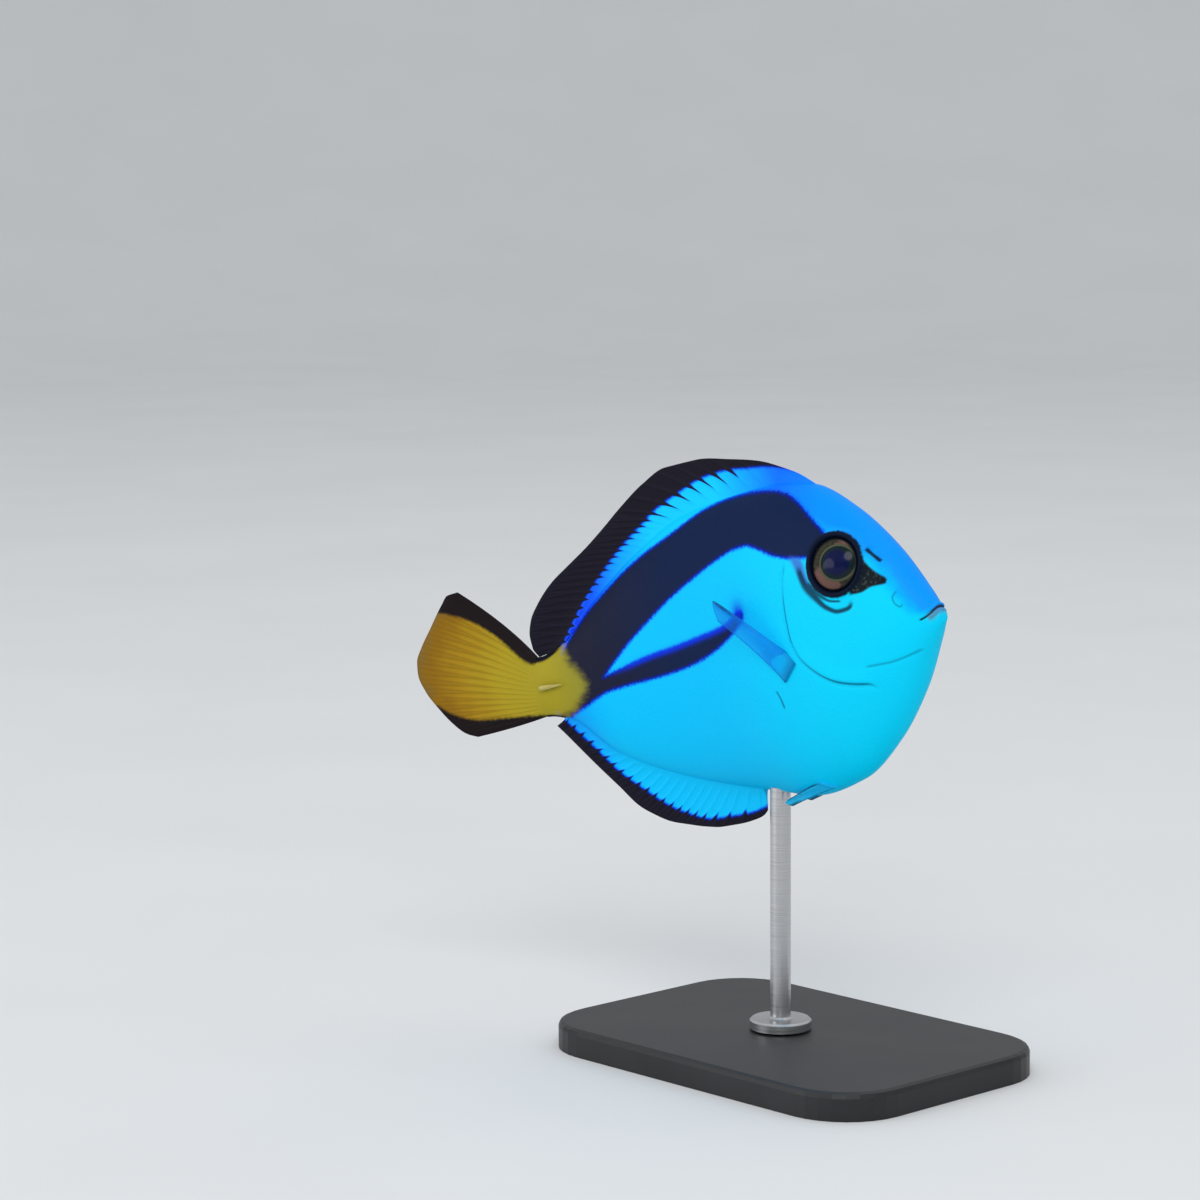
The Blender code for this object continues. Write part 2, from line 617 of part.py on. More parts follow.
def make_rod():
    """A turned rod with a flat foot, its top cut to the belly's shape."""
    foot_z = BASE_HEIGHT + GAP
    x, y, _ = place([(ROD_S, 0, float(belly_height(ROD_S)))])[0]
    profile = [(0, foot_z), (ROD_FOOT_RADIUS, foot_z), (ROD_FOOT_RADIUS, foot_z + 0.7 * ROD_FOOT_HEIGHT),
               (ROD_FOOT_RADIUS - 0.3 * ROD_FOOT_HEIGHT, foot_z + ROD_FOOT_HEIGHT),
               (ROD_RADIUS, foot_z + ROD_FOOT_HEIGHT), (ROD_RADIUS, FISH_HEIGHT), (0, FISH_HEIGHT)]
    bm = bmesh.new()
    verts = [bm.verts.new((radius, 0, z)) for radius, z in profile]
    for start, end in zip(verts, verts[1:]):
        bm.edges.new((start, end))
    bmesh.ops.spin(bm, geom=bm.verts[:] + bm.edges[:], axis=(0, 0, 1), angle=2 * math.pi, steps=24,
                   use_merge=True)
    bmesh.ops.remove_doubles(bm, verts=bm.verts, dist=0.00001)
    bmesh.ops.translate(bm, verts=bm.verts, vec=(x, y, 0))
    face_out(bm)
    rod = link("stand_rod", bm)
    belly = body_length([30, 30, *np.arange(31, 66, 3.1), 68, 68], 36, grow=SEAM)
    for vert, point in zip(belly.verts, place([vert.co for vert in belly.verts])):
        vert.co = point
    combine(rod, [link("belly_cutter", belly)], "DIFFERENCE")
    finish(rod, (0.6, 0.6, 0.62), roughness=0.3, metallic=1.0, drawn=False)


for old in list(bpy.data.objects):
    bpy.data.objects.remove(old)
make_head()
make_trunk()
make_tail_root()
make_fins()
make_tail_spine(1, "right")
make_tail_spine(-1, "left")
make_base()
make_rod()
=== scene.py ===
import math

import bmesh
import bpy
import numpy as np
from mathutils import Matrix, Vector


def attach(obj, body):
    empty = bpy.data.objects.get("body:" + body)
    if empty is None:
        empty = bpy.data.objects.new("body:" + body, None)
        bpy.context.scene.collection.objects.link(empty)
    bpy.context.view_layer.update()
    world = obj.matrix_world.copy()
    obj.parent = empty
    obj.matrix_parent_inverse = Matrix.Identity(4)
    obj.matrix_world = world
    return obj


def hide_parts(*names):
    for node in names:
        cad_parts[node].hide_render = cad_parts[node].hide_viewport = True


# Regal blue tang, life size, on a display stand.
# The fish is drawn straight, in hundredths of its body length: s runs back from the snout,
# w to the fish's right and h up. placeFish() bends it, tilts it and sets it on the stand.

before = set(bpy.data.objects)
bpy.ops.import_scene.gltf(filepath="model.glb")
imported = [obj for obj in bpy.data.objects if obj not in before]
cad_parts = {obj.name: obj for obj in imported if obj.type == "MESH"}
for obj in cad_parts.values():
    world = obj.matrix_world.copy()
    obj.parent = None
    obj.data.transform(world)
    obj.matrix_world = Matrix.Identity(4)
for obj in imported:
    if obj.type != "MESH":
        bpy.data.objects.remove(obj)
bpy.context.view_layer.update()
print("frame loaded")

fish = {
    "unit": 0.0008,              # metres in a hundredth of the body length
    "noseUp": 12.6,
    "rollToRight": 4.6,
    "tailSweep": 20.0,
    "sweepFrom": 34.7,
    "sweepTo": 97.2,
    "pivotS": 45.0,
    "pivotHeight": 0.060,
    "rodS": 47.3,
    "rodBehindPivot": 2.5,
    "snoutCap": 0.35,
    "backLine": [(0, 1.2), (2.5, 5.2), (8, 14.1), (15, 21.5), (23, 26.5), (33, 28.1), (44, 27.6),
                 (56, 26.1), (68, 21.4), (79, 14.8), (88, 7.9), (94, 5.7), (100, 6.1)],
    "bellyLine": [(0, -1.4), (2.5, -4.7), (8, -12.5), (16, -20.3), (26, -26.1), (37, -28.0),
                  (48, -26.1), (60, -23.6), (72, -19.8), (82, -14.5), (90, -7.1), (95, -5.7),
                  (100, -6.1)],
    "halfWidth": [(0, 1.15), (3, 3.4), (8, 5.3), (16, 7.0), (26, 8.2), (36, 8.4), (50, 7.4),
                  (64, 5.7), (78, 3.8), (88, 2.5), (95, 1.8), (100, 1.2)],
}


def smoothCurve(points):
    # a smooth curve through (x, y) points that doesn't overshoot them
    x, y = np.array(points, float).T
    step = np.diff(x)
    rise = np.diff(y) / step
    slope = np.zeros(len(x))
    slope[0], slope[-1] = rise[0], rise[-1]
    before, after = rise[:-1], rise[1:]
    a, b = 2 * step[1:] + step[:-1], step[1:] + 2 * step[:-1]
    sameWay = before * after > 0
    mean = (a + b)[sameWay] / (a[sameWay] / before[sameWay] + b[sameWay] / after[sameWay])
    slope[1:-1][sameWay] = mean

    def value(at):
        at = np.asarray(at, float)
        i = np.clip(np.searchsorted(x, at) - 1, 0, len(step) - 1)
        t = np.clip((at - x[i]) / step[i], 0, 1)
        past = at - np.clip(at, x[0], x[-1])
        ends = np.where(past < 0, slope[0], slope[-1])
        return (y[i] * (1 + 2 * t) * (1 - t) ** 2 + y[i + 1] * t * t * (3 - 2 * t)
                + step[i] * (slope[i] * t * (1 - t) ** 2 - slope[i + 1] * t * t * (1 - t)) + ends * past)
    return value


def smoothPath(points):
    # a smooth path through points, measured from 0 to 1 along its length
    points = np.array(points, float)
    along = np.concatenate([[0], np.cumsum(np.linalg.norm(np.diff(points, axis=0), axis=1))])
    along /= along[-1]
    parts = [smoothCurve(np.column_stack([along, column])) for column in points.T]
    return lambda t: np.stack([part(t) for part in parts], axis=-1)


def ease(low, high, at):
    t = np.clip((np.asarray(at, float) - low) / (high - low), 0, 1)
    return t * t * (3 - 2 * t)


def bump(away, width):
    return np.exp(-(np.asarray(away) / width) ** 2)


backHeight = smoothCurve(fish["backLine"])
bellyHeight = smoothCurve(fish["bellyLine"])
halfWidth = smoothCurve(fish["halfWidth"])


def section(s, grow=0.0):
    # middle height, half height, half width and the two powers of the body's section at s
    cap = np.sqrt(np.clip(1 - (np.minimum(s, 0) / fish["snoutCap"]) ** 2, 0, 1))
    inside = np.maximum(s, 0)
    top, bottom = backHeight(inside), bellyHeight(inside)
    keel = ease(0, 14, s)
    return ((top + bottom) / 2, cap * (top - bottom) / 2 + grow, cap * halfWidth(inside) + grow,
            1 + 0.15 * keel, 1 - 0.05 * keel)


def skinPoints(s, turn, grow=0.0):
    # points of the skin at s and at a turn round the section, 0 on the right side
    s, turn = np.broadcast_arrays(np.asarray(s, float), np.asarray(turn, float))
    middle, half, wide, powerW, powerH = section(s, grow)
    c, d = np.cos(turn), np.sin(turn)
    w = wide * np.sign(c) * np.abs(c) ** powerW
    h = middle + half * np.sign(d) * np.abs(d) ** powerH
    return np.stack([s, w, h], axis=-1)


def flank(s, h):
    # half width of the body at s and height h
    middle, half, wide, powerW, powerH = section(s)
    share = np.clip(np.abs((h - middle) / half), 0, 0.9999) ** (1 / powerH)
    return wide * (1 - share ** 2) ** (powerW / 2)


spineS = np.arange(-10.0, 140.0, 0.1)
spineTurn = math.radians(fish["tailSweep"]) * ease(fish["sweepFrom"], fish["sweepTo"], spineS)
spineX = -np.cumsum(np.cos(spineTurn)) * 0.1
spineY = -np.cumsum(np.sin(spineTurn)) * 0.1
spineX -= np.interp(0, spineS, spineX)
spineY -= np.interp(0, spineS, spineY)
tiltUp = Matrix.Rotation(-math.radians(fish["noseUp"]), 3, "Y")
fishTilt = np.array(tiltUp @ Matrix.Rotation(math.radians(fish["rollToRight"]), 3, "X"))
standOffset = np.zeros(3)


def placeFish(points):
    # drawing points (s, w, h) as metres in the model's own frame
    s, w, h = np.asarray(points, float).reshape(-1, 3).T
    turn = np.interp(s, spineS, spineTurn)
    x = np.interp(s, spineS, spineX) + w * np.sin(turn) + fish["pivotS"]
    y = np.interp(s, spineS, spineY) - w * np.cos(turn)
    return (np.stack([x, y, h], axis=-1) @ fishTilt.T - standOffset) * fish["unit"]


rodTop = placeFish([(fish["rodS"], 0, bellyHeight(fish["rodS"]))])[0] / fish["unit"]
standOffset = np.array([rodTop[0] + fish["rodBehindPivot"], rodTop[1], -fish["pivotHeight"] / fish["unit"]])


# Meshes

def readPoints(mesh, kind="co"):
    values = np.zeros(len(mesh.vertices) * 3, np.float32)
    mesh.vertices.foreach_get(kind, values)
    return values.reshape(-1, 3).astype(float)


def writePoints(mesh, points):
    mesh.vertices.foreach_set("co", np.asarray(points, np.float32).ravel())
    mesh.update()


def keepValues(mesh, **kept):
    # values or vectors for each vertex, for the materials to read
    for name, values in kept.items():
        values = np.asarray(values, np.float32)
        kind = "FLOAT" if values.ndim == 1 else "FLOAT_VECTOR"
        attribute = mesh.attributes.new(name, kind, "POINT")
        attribute.data.foreach_set("value" if values.ndim == 1 else "vector", values.ravel())


def makePiece(name, bm):
    mesh = bpy.data.meshes.new(name)
    bm.to_mesh(mesh)
    bm.free()
    piece = bpy.data.objects.new(name, mesh)
    bpy.context.scene.collection.objects.link(piece)
    return piece


def turnedPiece(name, profile, steps, tolerance, at=(0, 0, 0)):
    # a piece turned on a lathe from (radius, height) points
    bm = bmesh.new()
    verts = [bm.verts.new((radius, 0, z)) for radius, z in profile]
    for start, end in zip(verts, verts[1:]):
        bm.edges.new((start, end))
    bmesh.ops.spin(bm, geom=bm.verts[:] + bm.edges[:], axis=(0, 0, 1), angle=2 * math.pi, steps=steps,
                   use_merge=True)
    bmesh.ops.remove_doubles(bm, verts=bm.verts, dist=tolerance)
    bmesh.ops.translate(bm, verts=bm.verts, vec=at)
    return makePiece(name, bm)


def turnFacesOut(mesh):
    bm = bmesh.new()
    bm.from_mesh(mesh)
    bmesh.ops.recalc_face_normals(bm, faces=bm.faces)
    if bm.calc_volume(signed=True) < 0:
        bmesh.ops.reverse_faces(bm, faces=bm.faces)
    bm.to_mesh(mesh)
    bm.free()


def dress(piece, material, slot, *nodes):
    # finishes a piece: its faces, its material, its body and the CAD nodes that it stands for
    turnFacesOut(piece.data)
    piece.data.shade_smooth()
    piece.data.materials.clear()
    piece.data.materials.append(material)
    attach(piece, "root")
    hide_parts(*nodes)
    print(piece.name, len(piece.data.polygons), "faces")


# Materials

def newFinish(name, roughness, specular=0.3, coat=0.0):
    material = bpy.data.materials.new(name)
    material.use_nodes = True
    tree = material.node_tree
    shader = tree.nodes["Principled BSDF"]
    shader.inputs["Roughness"].default_value = roughness
    shader.inputs["Specular IOR Level"].default_value = specular
    shader.inputs["Coat Weight"].default_value = coat
    return material, tree, shader


def joinTo(tree, socket, value):
    # a socket takes a number, a colour or another node's output
    if isinstance(value, bpy.types.NodeSocket):
        tree.links.new(value, socket)
    elif isinstance(value, (tuple, list)) and len(value) == 3 and len(socket.default_value) == 4:
        socket.default_value = (*value, 1)
    else:
        socket.default_value = value


def calc(tree, operation, a, b=0.0, c=0.0):
    node = tree.nodes.new("ShaderNodeMath")
    node.operation = operation
    for socket, value in zip(node.inputs, (a, b, c)):
        joinTo(tree, socket, value)
    return node.outputs[0]


def rise(tree, value, low, high):
    # from 0 at low to 1 at high, smoothly
    node = tree.nodes.new("ShaderNodeMapRange")
    node.interpolation_type = "SMOOTHSTEP"
    joinTo(tree, node.inputs["Value"], value)
    node.inputs["From Min"].default_value = low
    node.inputs["From Max"].default_value = high
    if low > high:
        node.inputs["From Min"].default_value = high
        node.inputs["From Max"].default_value = low
        node.inputs["To Min"].default_value = 1
        node.inputs["To Max"].default_value = 0
    return node.outputs[0]


def blendColours(tree, share, a, b):
    node = tree.nodes.new("ShaderNodeMix")
    node.data_type = "RGBA"
    joinTo(tree, node.inputs[0], share)
    joinTo(tree, node.inputs[6], a)
    joinTo(tree, node.inputs[7], b)
    return node.outputs[2]


def layer(tree, colour, value, low, high, over):
    # lays a colour over another where a value rises from low to high
    return blendColours(tree, rise(tree, value, low, high), colour, over)


def readValue(tree, name, output="Fac"):
    node = tree.nodes.new("ShaderNodeAttribute")
    node.attribute_name = name
    return node.outputs[output]


def split(tree, vector):
    node = tree.nodes.new("ShaderNodeSeparateXYZ")
    tree.links.new(vector, node.inputs[0])
    return node.outputs


def noise(tree, vector, scale, detail=2.0):
    node = tree.nodes.new("ShaderNodeTexNoise")
    tree.links.new(vector, node.inputs["Vector"])
    node.inputs["Scale"].default_value = scale
    node.inputs["Detail"].default_value = detail
    return node.outputs["Fac"]


def wander(tree, vector, scale, width):
    # a noise that sways by width about zero
    return calc(tree, "MULTIPLY_ADD", noise(tree, vector, scale), width, -width / 2)


def stretch(tree, vector, scale):
    node = tree.nodes.new("ShaderNodeMapping")
    tree.links.new(vector, node.inputs["Vector"])
    node.inputs["Scale"].default_value = scale
    return node.outputs[0]


def raiseSurface(tree, shader, height, strength, distance):
    node = tree.nodes.new("ShaderNodeBump")
    node.inputs["Strength"].default_value = strength
    node.inputs["Distance"].default_value = distance
    tree.links.new(height, node.inputs["Height"])
    tree.links.new(node.outputs[0], shader.inputs["Normal"])


def colourRamp(tree, value, stops):
    node = tree.nodes.new("ShaderNodeValToRGB")
    joinTo(tree, node.inputs[0], value)
    ramp = node.color_ramp
    while len(ramp.elements) < len(stops):
        ramp.elements.new(0.5)
    for element, (place, colour) in zip(ramp.elements, stops):
        element.position = place
        element.color = (*colour, 1)
    return node.outputs[0]


coat = {
    "cheek": (0.0, 0.67, 1.0),
    "side": (0.0, 0.56, 1.0),
    "rearCorner": (0.0, 0.36, 1.0),
    "band": (0.0035, 0.0135, 0.060),
    "bandRear": (0.012, 0.013, 0.032),
    "halo": (0.0, 0.010, 0.30),
    "haloOuter": (0.0, 0.13, 0.95),
    "commaGlow": (0.0, 0.035, 0.80),
    "yellow": (0.38, 0.31, 0.020),
    "yellowFront": (0.29, 0.27, 0.03),
    "finBlack": (0.006, 0.0045, 0.012),
    "orbit": (0.006, 0.010, 0.016),
    "orbitGlint": (0.05, 0.075, 0.06),
    "eyeRing": (0.002, 0.006, 0.022),
    # dark lines of the head: painted shade in its folds and slits over the head's own fine lines
    "creaseLineAndShade": (0.002, 0.10, 0.20),
    "foldLineAndShade": (0.004, 0.038, 0.085),
    "eyePatch": (0.045, 0.15, 0.62),
    "lip": (0.14, 0.10, 0.14),
    # colour of the blue along the back, by its place from snout to tail: the back's and fins' own deeper
    # blue, with painted shade where the forehead and back turn away from the light
    "backBlueAndShade": [(0.0, (0.0, 0.32, 1.0)), (0.20, (0.0, 0.27, 1.0)), (0.31, (0.0, 0.17, 1.0)),
               (0.40, (0.0, 0.42, 1.0)), (0.47, (0.0, 0.62, 1.0)), (0.64, (0.0, 0.60, 1.0)),
               (0.73, (0.0, 0.36, 1.0)), (0.80, (0.0, 0.10, 1.0)), (0.87, (0.004, 0.010, 0.72)),
               (0.91, (0.01, 0.01, 0.30))],
}


def blueCoat(tree):
    # the blue of the skin and of the fins' bases, by the place on the fish, with painted shade along the
    # forehead and back
    drawn = readValue(tree, "drawn", "Vector")
    s, _, h = split(tree, drawn)
    body = layer(tree, coat["cheek"], s, 18, 55, coat["side"])
    body = layer(tree, body, s, 78, 92, coat["rearCorner"])
    # deeper blue near the back: the fish's own blue, with painted shade where the forehead and back turn
    # away from the light
    backBlueAndShade = colourRamp(tree, calc(tree, "MULTIPLY", s, 0.01), coat["backBlueAndShade"])
    below = calc(tree, "MULTIPLY_ADD", noise(tree, drawn, 0.35), 3.0, readValue(tree, "belowBack"))
    backBlueAndShadeShare = rise(tree, calc(tree, "MULTIPLY_ADD", rise(tree, s, 4, 22), -2.5, below), 9.5, 3.0)
    backBlueAndShadeShare = calc(tree, "MULTIPLY", backBlueAndShadeShare, rise(tree, h, 0.2, 1.8))
    blue = blendColours(tree, backBlueAndShadeShare, body, backBlueAndShade)
    shade = calc(tree, "MULTIPLY_ADD", noise(tree, drawn, 5.0, 3.0), 0.14, 0.93)
    node = tree.nodes.new("ShaderNodeVectorMath")
    node.operation = "SCALE"
    tree.links.new(blue, node.inputs[0])
    tree.links.new(shade, node.inputs["Scale"])
    return drawn, s, node.outputs[0]


# Skin

eye = {
    "at": (16.6, 12.2),
    "radius": 5.1,
    "depth": 3.0,
    "sink": 1.5,
    "rim": 5.25,
    "rimHeight": 0.55,
    "rimWidth": 0.62,
    "cupDepth": 2.4,
    "pupil": (2.45, 2.25),
    "pupilAhead": 1.2,
    "lens": (0.28, 1.1),             # height and width of the clear bulge before the pupil
    "socketFlat": 0.4,               # share of the head's bulge that is taken off round the eye
    "socketFade": (6.9, 5.3),
    "cupFade": (5.0, 4.1),
    "segments": 72,
    "pupilColour": (0.001, 0.004, 0.045),
    "pupilRing": (0.002, 0.012, 0.016),
    "iris": [(0.30, (0.006, 0.009, 0.008)), (0.52, (0.024, 0.022, 0.012)), (0.75, (0.055, 0.045, 0.022))],
    "blush": (0.14, 0.068, 0.055),
    "oliveRing": (0.075, 0.085, 0.045),
    "outerRing": (0.003, 0.006, 0.012),
}

skin = {
    "columns": 288,
    "rows": [(-0.35, 3.5, 52), (3.5, 28.5, 158), (28.5, 97.0, 96)],   # from s, to s, how many
    "gillLift": 0.42,
    "gillAhead": 2.4,                # how far ahead of its edge the gill cover's lift fades
    "gillGroove": (0.25, 0.45),      # place and width of the groove behind that edge
    "lipThickness": 0.46,
    "upperLip": [(2.2, 2.6, 0.85), (1.25, 1.8, 1.4), (0.75, 1.0, 1.75), (0.6, 0, 2.0)],
    "lowerLip": [(2.1, 2.45, -0.1), (1.15, 1.75, 0.15), (0.4, 0.95, 0.7), (0.15, 0, 0.9)],
    "nostrils": [((10.3, 13.3), 0.50), ((8.7, 11.6), 0.42)],
    "nostrilDepth": 0.55,
    "endTaper": (0.45, 0.10),        # how much narrower and lower the skin gets inside the tail fin
}

# Fine lines of the head: path, depth and half width of the fold, darkness of its line. The dark lines are
# painted shade in the folds, the mouth and the nostrils, laid over the head's own fine lines
creases = {
    "gill": ([(27.2, 14.5), (28.1, 11), (28.5, 7.7), (28.6, 4.6), (28.6, 1.6), (27.7, -2.1), (25.2, -5.1),
              (20.8, -7.9), (17.4, -8.8), (14.5, -9.3), (12.9, -10.4)], 0.30, 0.34, 0.75),
    "hook": ([(24.6, 13.4), (23.4, 9.8), (21.4, 7.2), (19.4, 5.1), (17.1, 4.1), (15.1, 4.3), (14.2, 5.1),
              (14.6, 5.8)], 0.24, 0.50, 0.95),
    "innerHook": ([(22.8, 10.2), (20.6, 7.7), (18.3, 6.1), (15.9, 5.7)], 0.12, 0.26, 0.85),
    "jaw": ([(14.6, -6.2), (10.1, -6.2), (8.0, -6.0), (6.0, -5.6), (3.4, -4.9)], 0.10, 0.26, 0.45),
    "mouth": ([(2.7, -0.1), (1.7, 0.3), (0.9, 0.85), (0.32, 1.55), (-0.1, 2.3)], 0.30, 0.22, 0.95),
    "nostrilDash": ([(10.9, 13.9), (9.5, 12.4), (8.0, 11.0)], 0.0, 0.34, 0.95),
    "snoutMark": ([(5.5, 5.8), (6.4, 4.6), (6.0, 3.5), (5.2, 2.9), (4.7, 3.4)], 0.0, 0.22, 0.5),
    # the dark dash at the pectoral fin's axil is painted shade under the fin's root
    "axilShade": ([(35.1, -7.7), (34.5, -9.3), (34.3, -11.2)], 0.10, 0.28, 0.7),
}
# colours of the dark lines: painted shade in the mouth, the nostrils and the folds by the eye
darkCreases = {"nostrilDash": "orbit", "mouth": "orbit", "hook": "foldLineAndShade", "innerHook": "foldLineAndShade"}
bulges = {"hook": 0.9, "innerHook": 1.8}     # how much wider a line gets near its start

# Outlines of the markings on the skin
bandUpper = [(17.4, 16.6), (18.9, 18.1), (21.0, 20.4), (24.0, 23.4), (26.5, 25.2), (28.7, 26.2), (32, 26.9),
             (37.6, 27.3), (42.9, 27.1), (49, 26.1), (57.8, 23.0), (66.6, 20.1), (72.9, 17.2), (77.2, 14.7),
             (81.4, 12.2), (85.9, 8.3), (88.6, 5.4)]
bandRear = [(88.6, 5.4), (90.5, 0), (91.5, -4), (92.4, -7.5)]
commaLower = [(92.4, -7.5), (89.4, -6.2), (84.1, -4.4), (79.9, -2.9), (73.4, -2.2), (65.3, -1.7),
              (56.6, -0.7), (48.7, 1.2), (44.4, 3.0), (41.7, 4.4), (40.1, 5.5)]
commaTip = [(40.1, 5.5), (39.4, 6.3), (39.5, 7.1), (40.6, 7.0), (41.8, 6.2)]
commaUpper = [(41.8, 6.2), (44.7, 5.0), (52.2, 3.8), (59.7, 2.8), (66.9, 2.0), (73.8, 0.8), (79.7, -0.3)]
bandLower = [(79.7, -0.3), (75.9, 2.6), (71.2, 5.7), (65, 9), (58.8, 12), (52.6, 14.4), (46.1, 16.7),
             (39.6, 18.4), (36.4, 18.6)]
bandFront = [(36.4, 18.6), (33.1, 17.3), (29.7, 15.8), (26.0, 14.9), (23.4, 14.6), (20.5, 14.2)]
bandOutline = [bandUpper, bandRear, commaLower, commaTip, commaUpper, bandLower, bandFront]
eyePoint = [(11.9, 13.4), (9.9, 10.6), (8.4, 9.2), (7.0, 7.9), (7.3, 7.1), (9.7, 7.1), (12.1, 6.4),
            (15.0, 6.4)]
eyePatch = [(26.0, 14.8), (23.7, 14.1), (22.7, 11.3), (22.1, 9.0), (23.5, 10.1), (25.0, 12.5)]
yellowEdge = [(91.0, 14), (87.6, 7.0), (86.7, 4.1), (85.1, 2.4), (83.6, -0.6), (85.5, -3.6), (88.3, -5.6),
              (92.0, -6.6), (97, -7.4)]


def besidePath(places, path, steps=90):
    # how far each (s, h) place is to one side of a path, and how far along it
    line = path(np.linspace(0, 1, steps + 1))
    best = np.full(len(places), 1e9)
    beside = np.zeros(len(places))
    along = np.zeros(len(places))
    for i, (start, end) in enumerate(zip(line[:-1], line[1:])):
        step = end - start
        t = np.clip(((places - start) @ step) / (step @ step), 0, 1)
        away = places - start - t[:, None] * step
        distance = np.hypot(away[:, 0], away[:, 1])
        closer = distance < best
        side = np.sign(step[0] * away[:, 1] - step[1] * away[:, 0])
        best[closer] = distance[closer]
        beside[closer] = (side * distance)[closer]
        along[closer] = ((i + t) / steps)[closer]
    return beside, along


def insideOutline(places, parts, steps=24):
    # how far each (s, h) place is inside a closed outline; below 0 outside it
    outline = np.concatenate([smoothPath(part)(np.linspace(0, 1, steps + 1))[:-1] for part in parts])
    ends = np.roll(outline, -1, axis=0)
    best = np.full(len(places), 1e9)
    crossings = np.zeros(len(places), int)
    for start, end in zip(outline, ends):
        step = end - start
        t = np.clip(((places - start) @ step) / max(step @ step, 1e-9), 0, 1)
        away = places - start - t[:, None] * step
        best = np.minimum(best, np.hypot(away[:, 0], away[:, 1]))
        spans = (places[:, 1] > start[1]) != (places[:, 1] > end[1])
        rising = step[1] if abs(step[1]) > 1e-9 else 1e-9
        crossings += spans & (places[:, 0] < start[0] + step[0] * (places[:, 1] - start[1]) / rising)
    return np.where(crossings % 2 == 1, best, -best)


def sideFrame(s, h, side):
    # axes on the skin of a side at (s, h): back, up and out, and the skin's own point
    step = 0.4
    slopeS = float(flank(s + step, h) - flank(s - step, h)) / (2 * step)
    slopeH = float(flank(s, h + step) - flank(s, h - step)) / (2 * step)
    out = Vector((-slopeS, side, -slopeH)).normalized()
    up = (Vector((0, 0, 1)) - out * out.z).normalized()
    turned = Matrix((up.cross(out), up, out)).transposed().to_4x4()
    turned.translation = (s, side * float(flank(s, h)), h)
    return np.array(turned)


def stationList():
    parts = [np.linspace(start, end, count, endpoint=False) for start, end, count in skin["rows"]]
    stations = np.concatenate([*parts, [skin["rows"][-1][1]]])
    stations[:12] = skin["rows"][0][0] + (stations[12] - skin["rows"][0][0]) * (np.arange(12) / 12) ** 2
    stations[-2] = stations[-1]
    return stations


def plainSkin():
    # the body's smooth surface, its columns spread evenly round each section
    stations = stationList()
    rows = len(stations) - 1
    bm = bmesh.new()
    bmesh.ops.create_uvsphere(bm, u_segments=skin["columns"], v_segments=rows, radius=1)
    piece = makePiece("tang_skin", bm)
    ball = readPoints(piece.data)
    row = np.rint(np.arccos(np.clip(ball[:, 2], -1, 1)) / math.pi * rows).astype(int)
    share = (np.arctan2(ball[:, 1], -ball[:, 0]) / (2 * math.pi)) % 1
    fine = np.linspace(0, 2 * math.pi, 1441)
    points = np.zeros_like(ball)
    for r in range(rows + 1):
        here = row == r
        ring = skinPoints(stations[r], fine)
        length = np.concatenate([[0], np.cumsum(np.linalg.norm(np.diff(ring, axis=0), axis=1))])
        turn = np.interp(share[here], length / max(length[-1], 1e-9), fine) if length[-1] > 0 else 0
        points[here] = skinPoints(stations[r], turn)
        if r in (0, rows):
            points[here] = (stations[r], 0, float(section(stations[r])[0]))
    thinner, lower = skin["endTaper"]
    end = ease(94.9, 97.0, points[:, 0])
    points[:, 1] *= 1 - thinner * end
    points[:, 2] *= 1 - lower * end
    writePoints(piece.data, points)
    turnFacesOut(piece.data)
    return piece


def pushOutOfTube(points, normals, line, radius):
    # how far along its normal each point has to move to leave a tube
    lift = np.zeros(len(points))
    for centre in line:
        away = points - centre
        along = np.einsum("ij,ij->i", away, normals)
        left = along ** 2 - (np.einsum("ij,ij->i", away, away) - radius ** 2)
        lift = np.maximum(lift, np.where(left > 0, -along + np.sqrt(np.maximum(left, 0)), 0))
    return lift


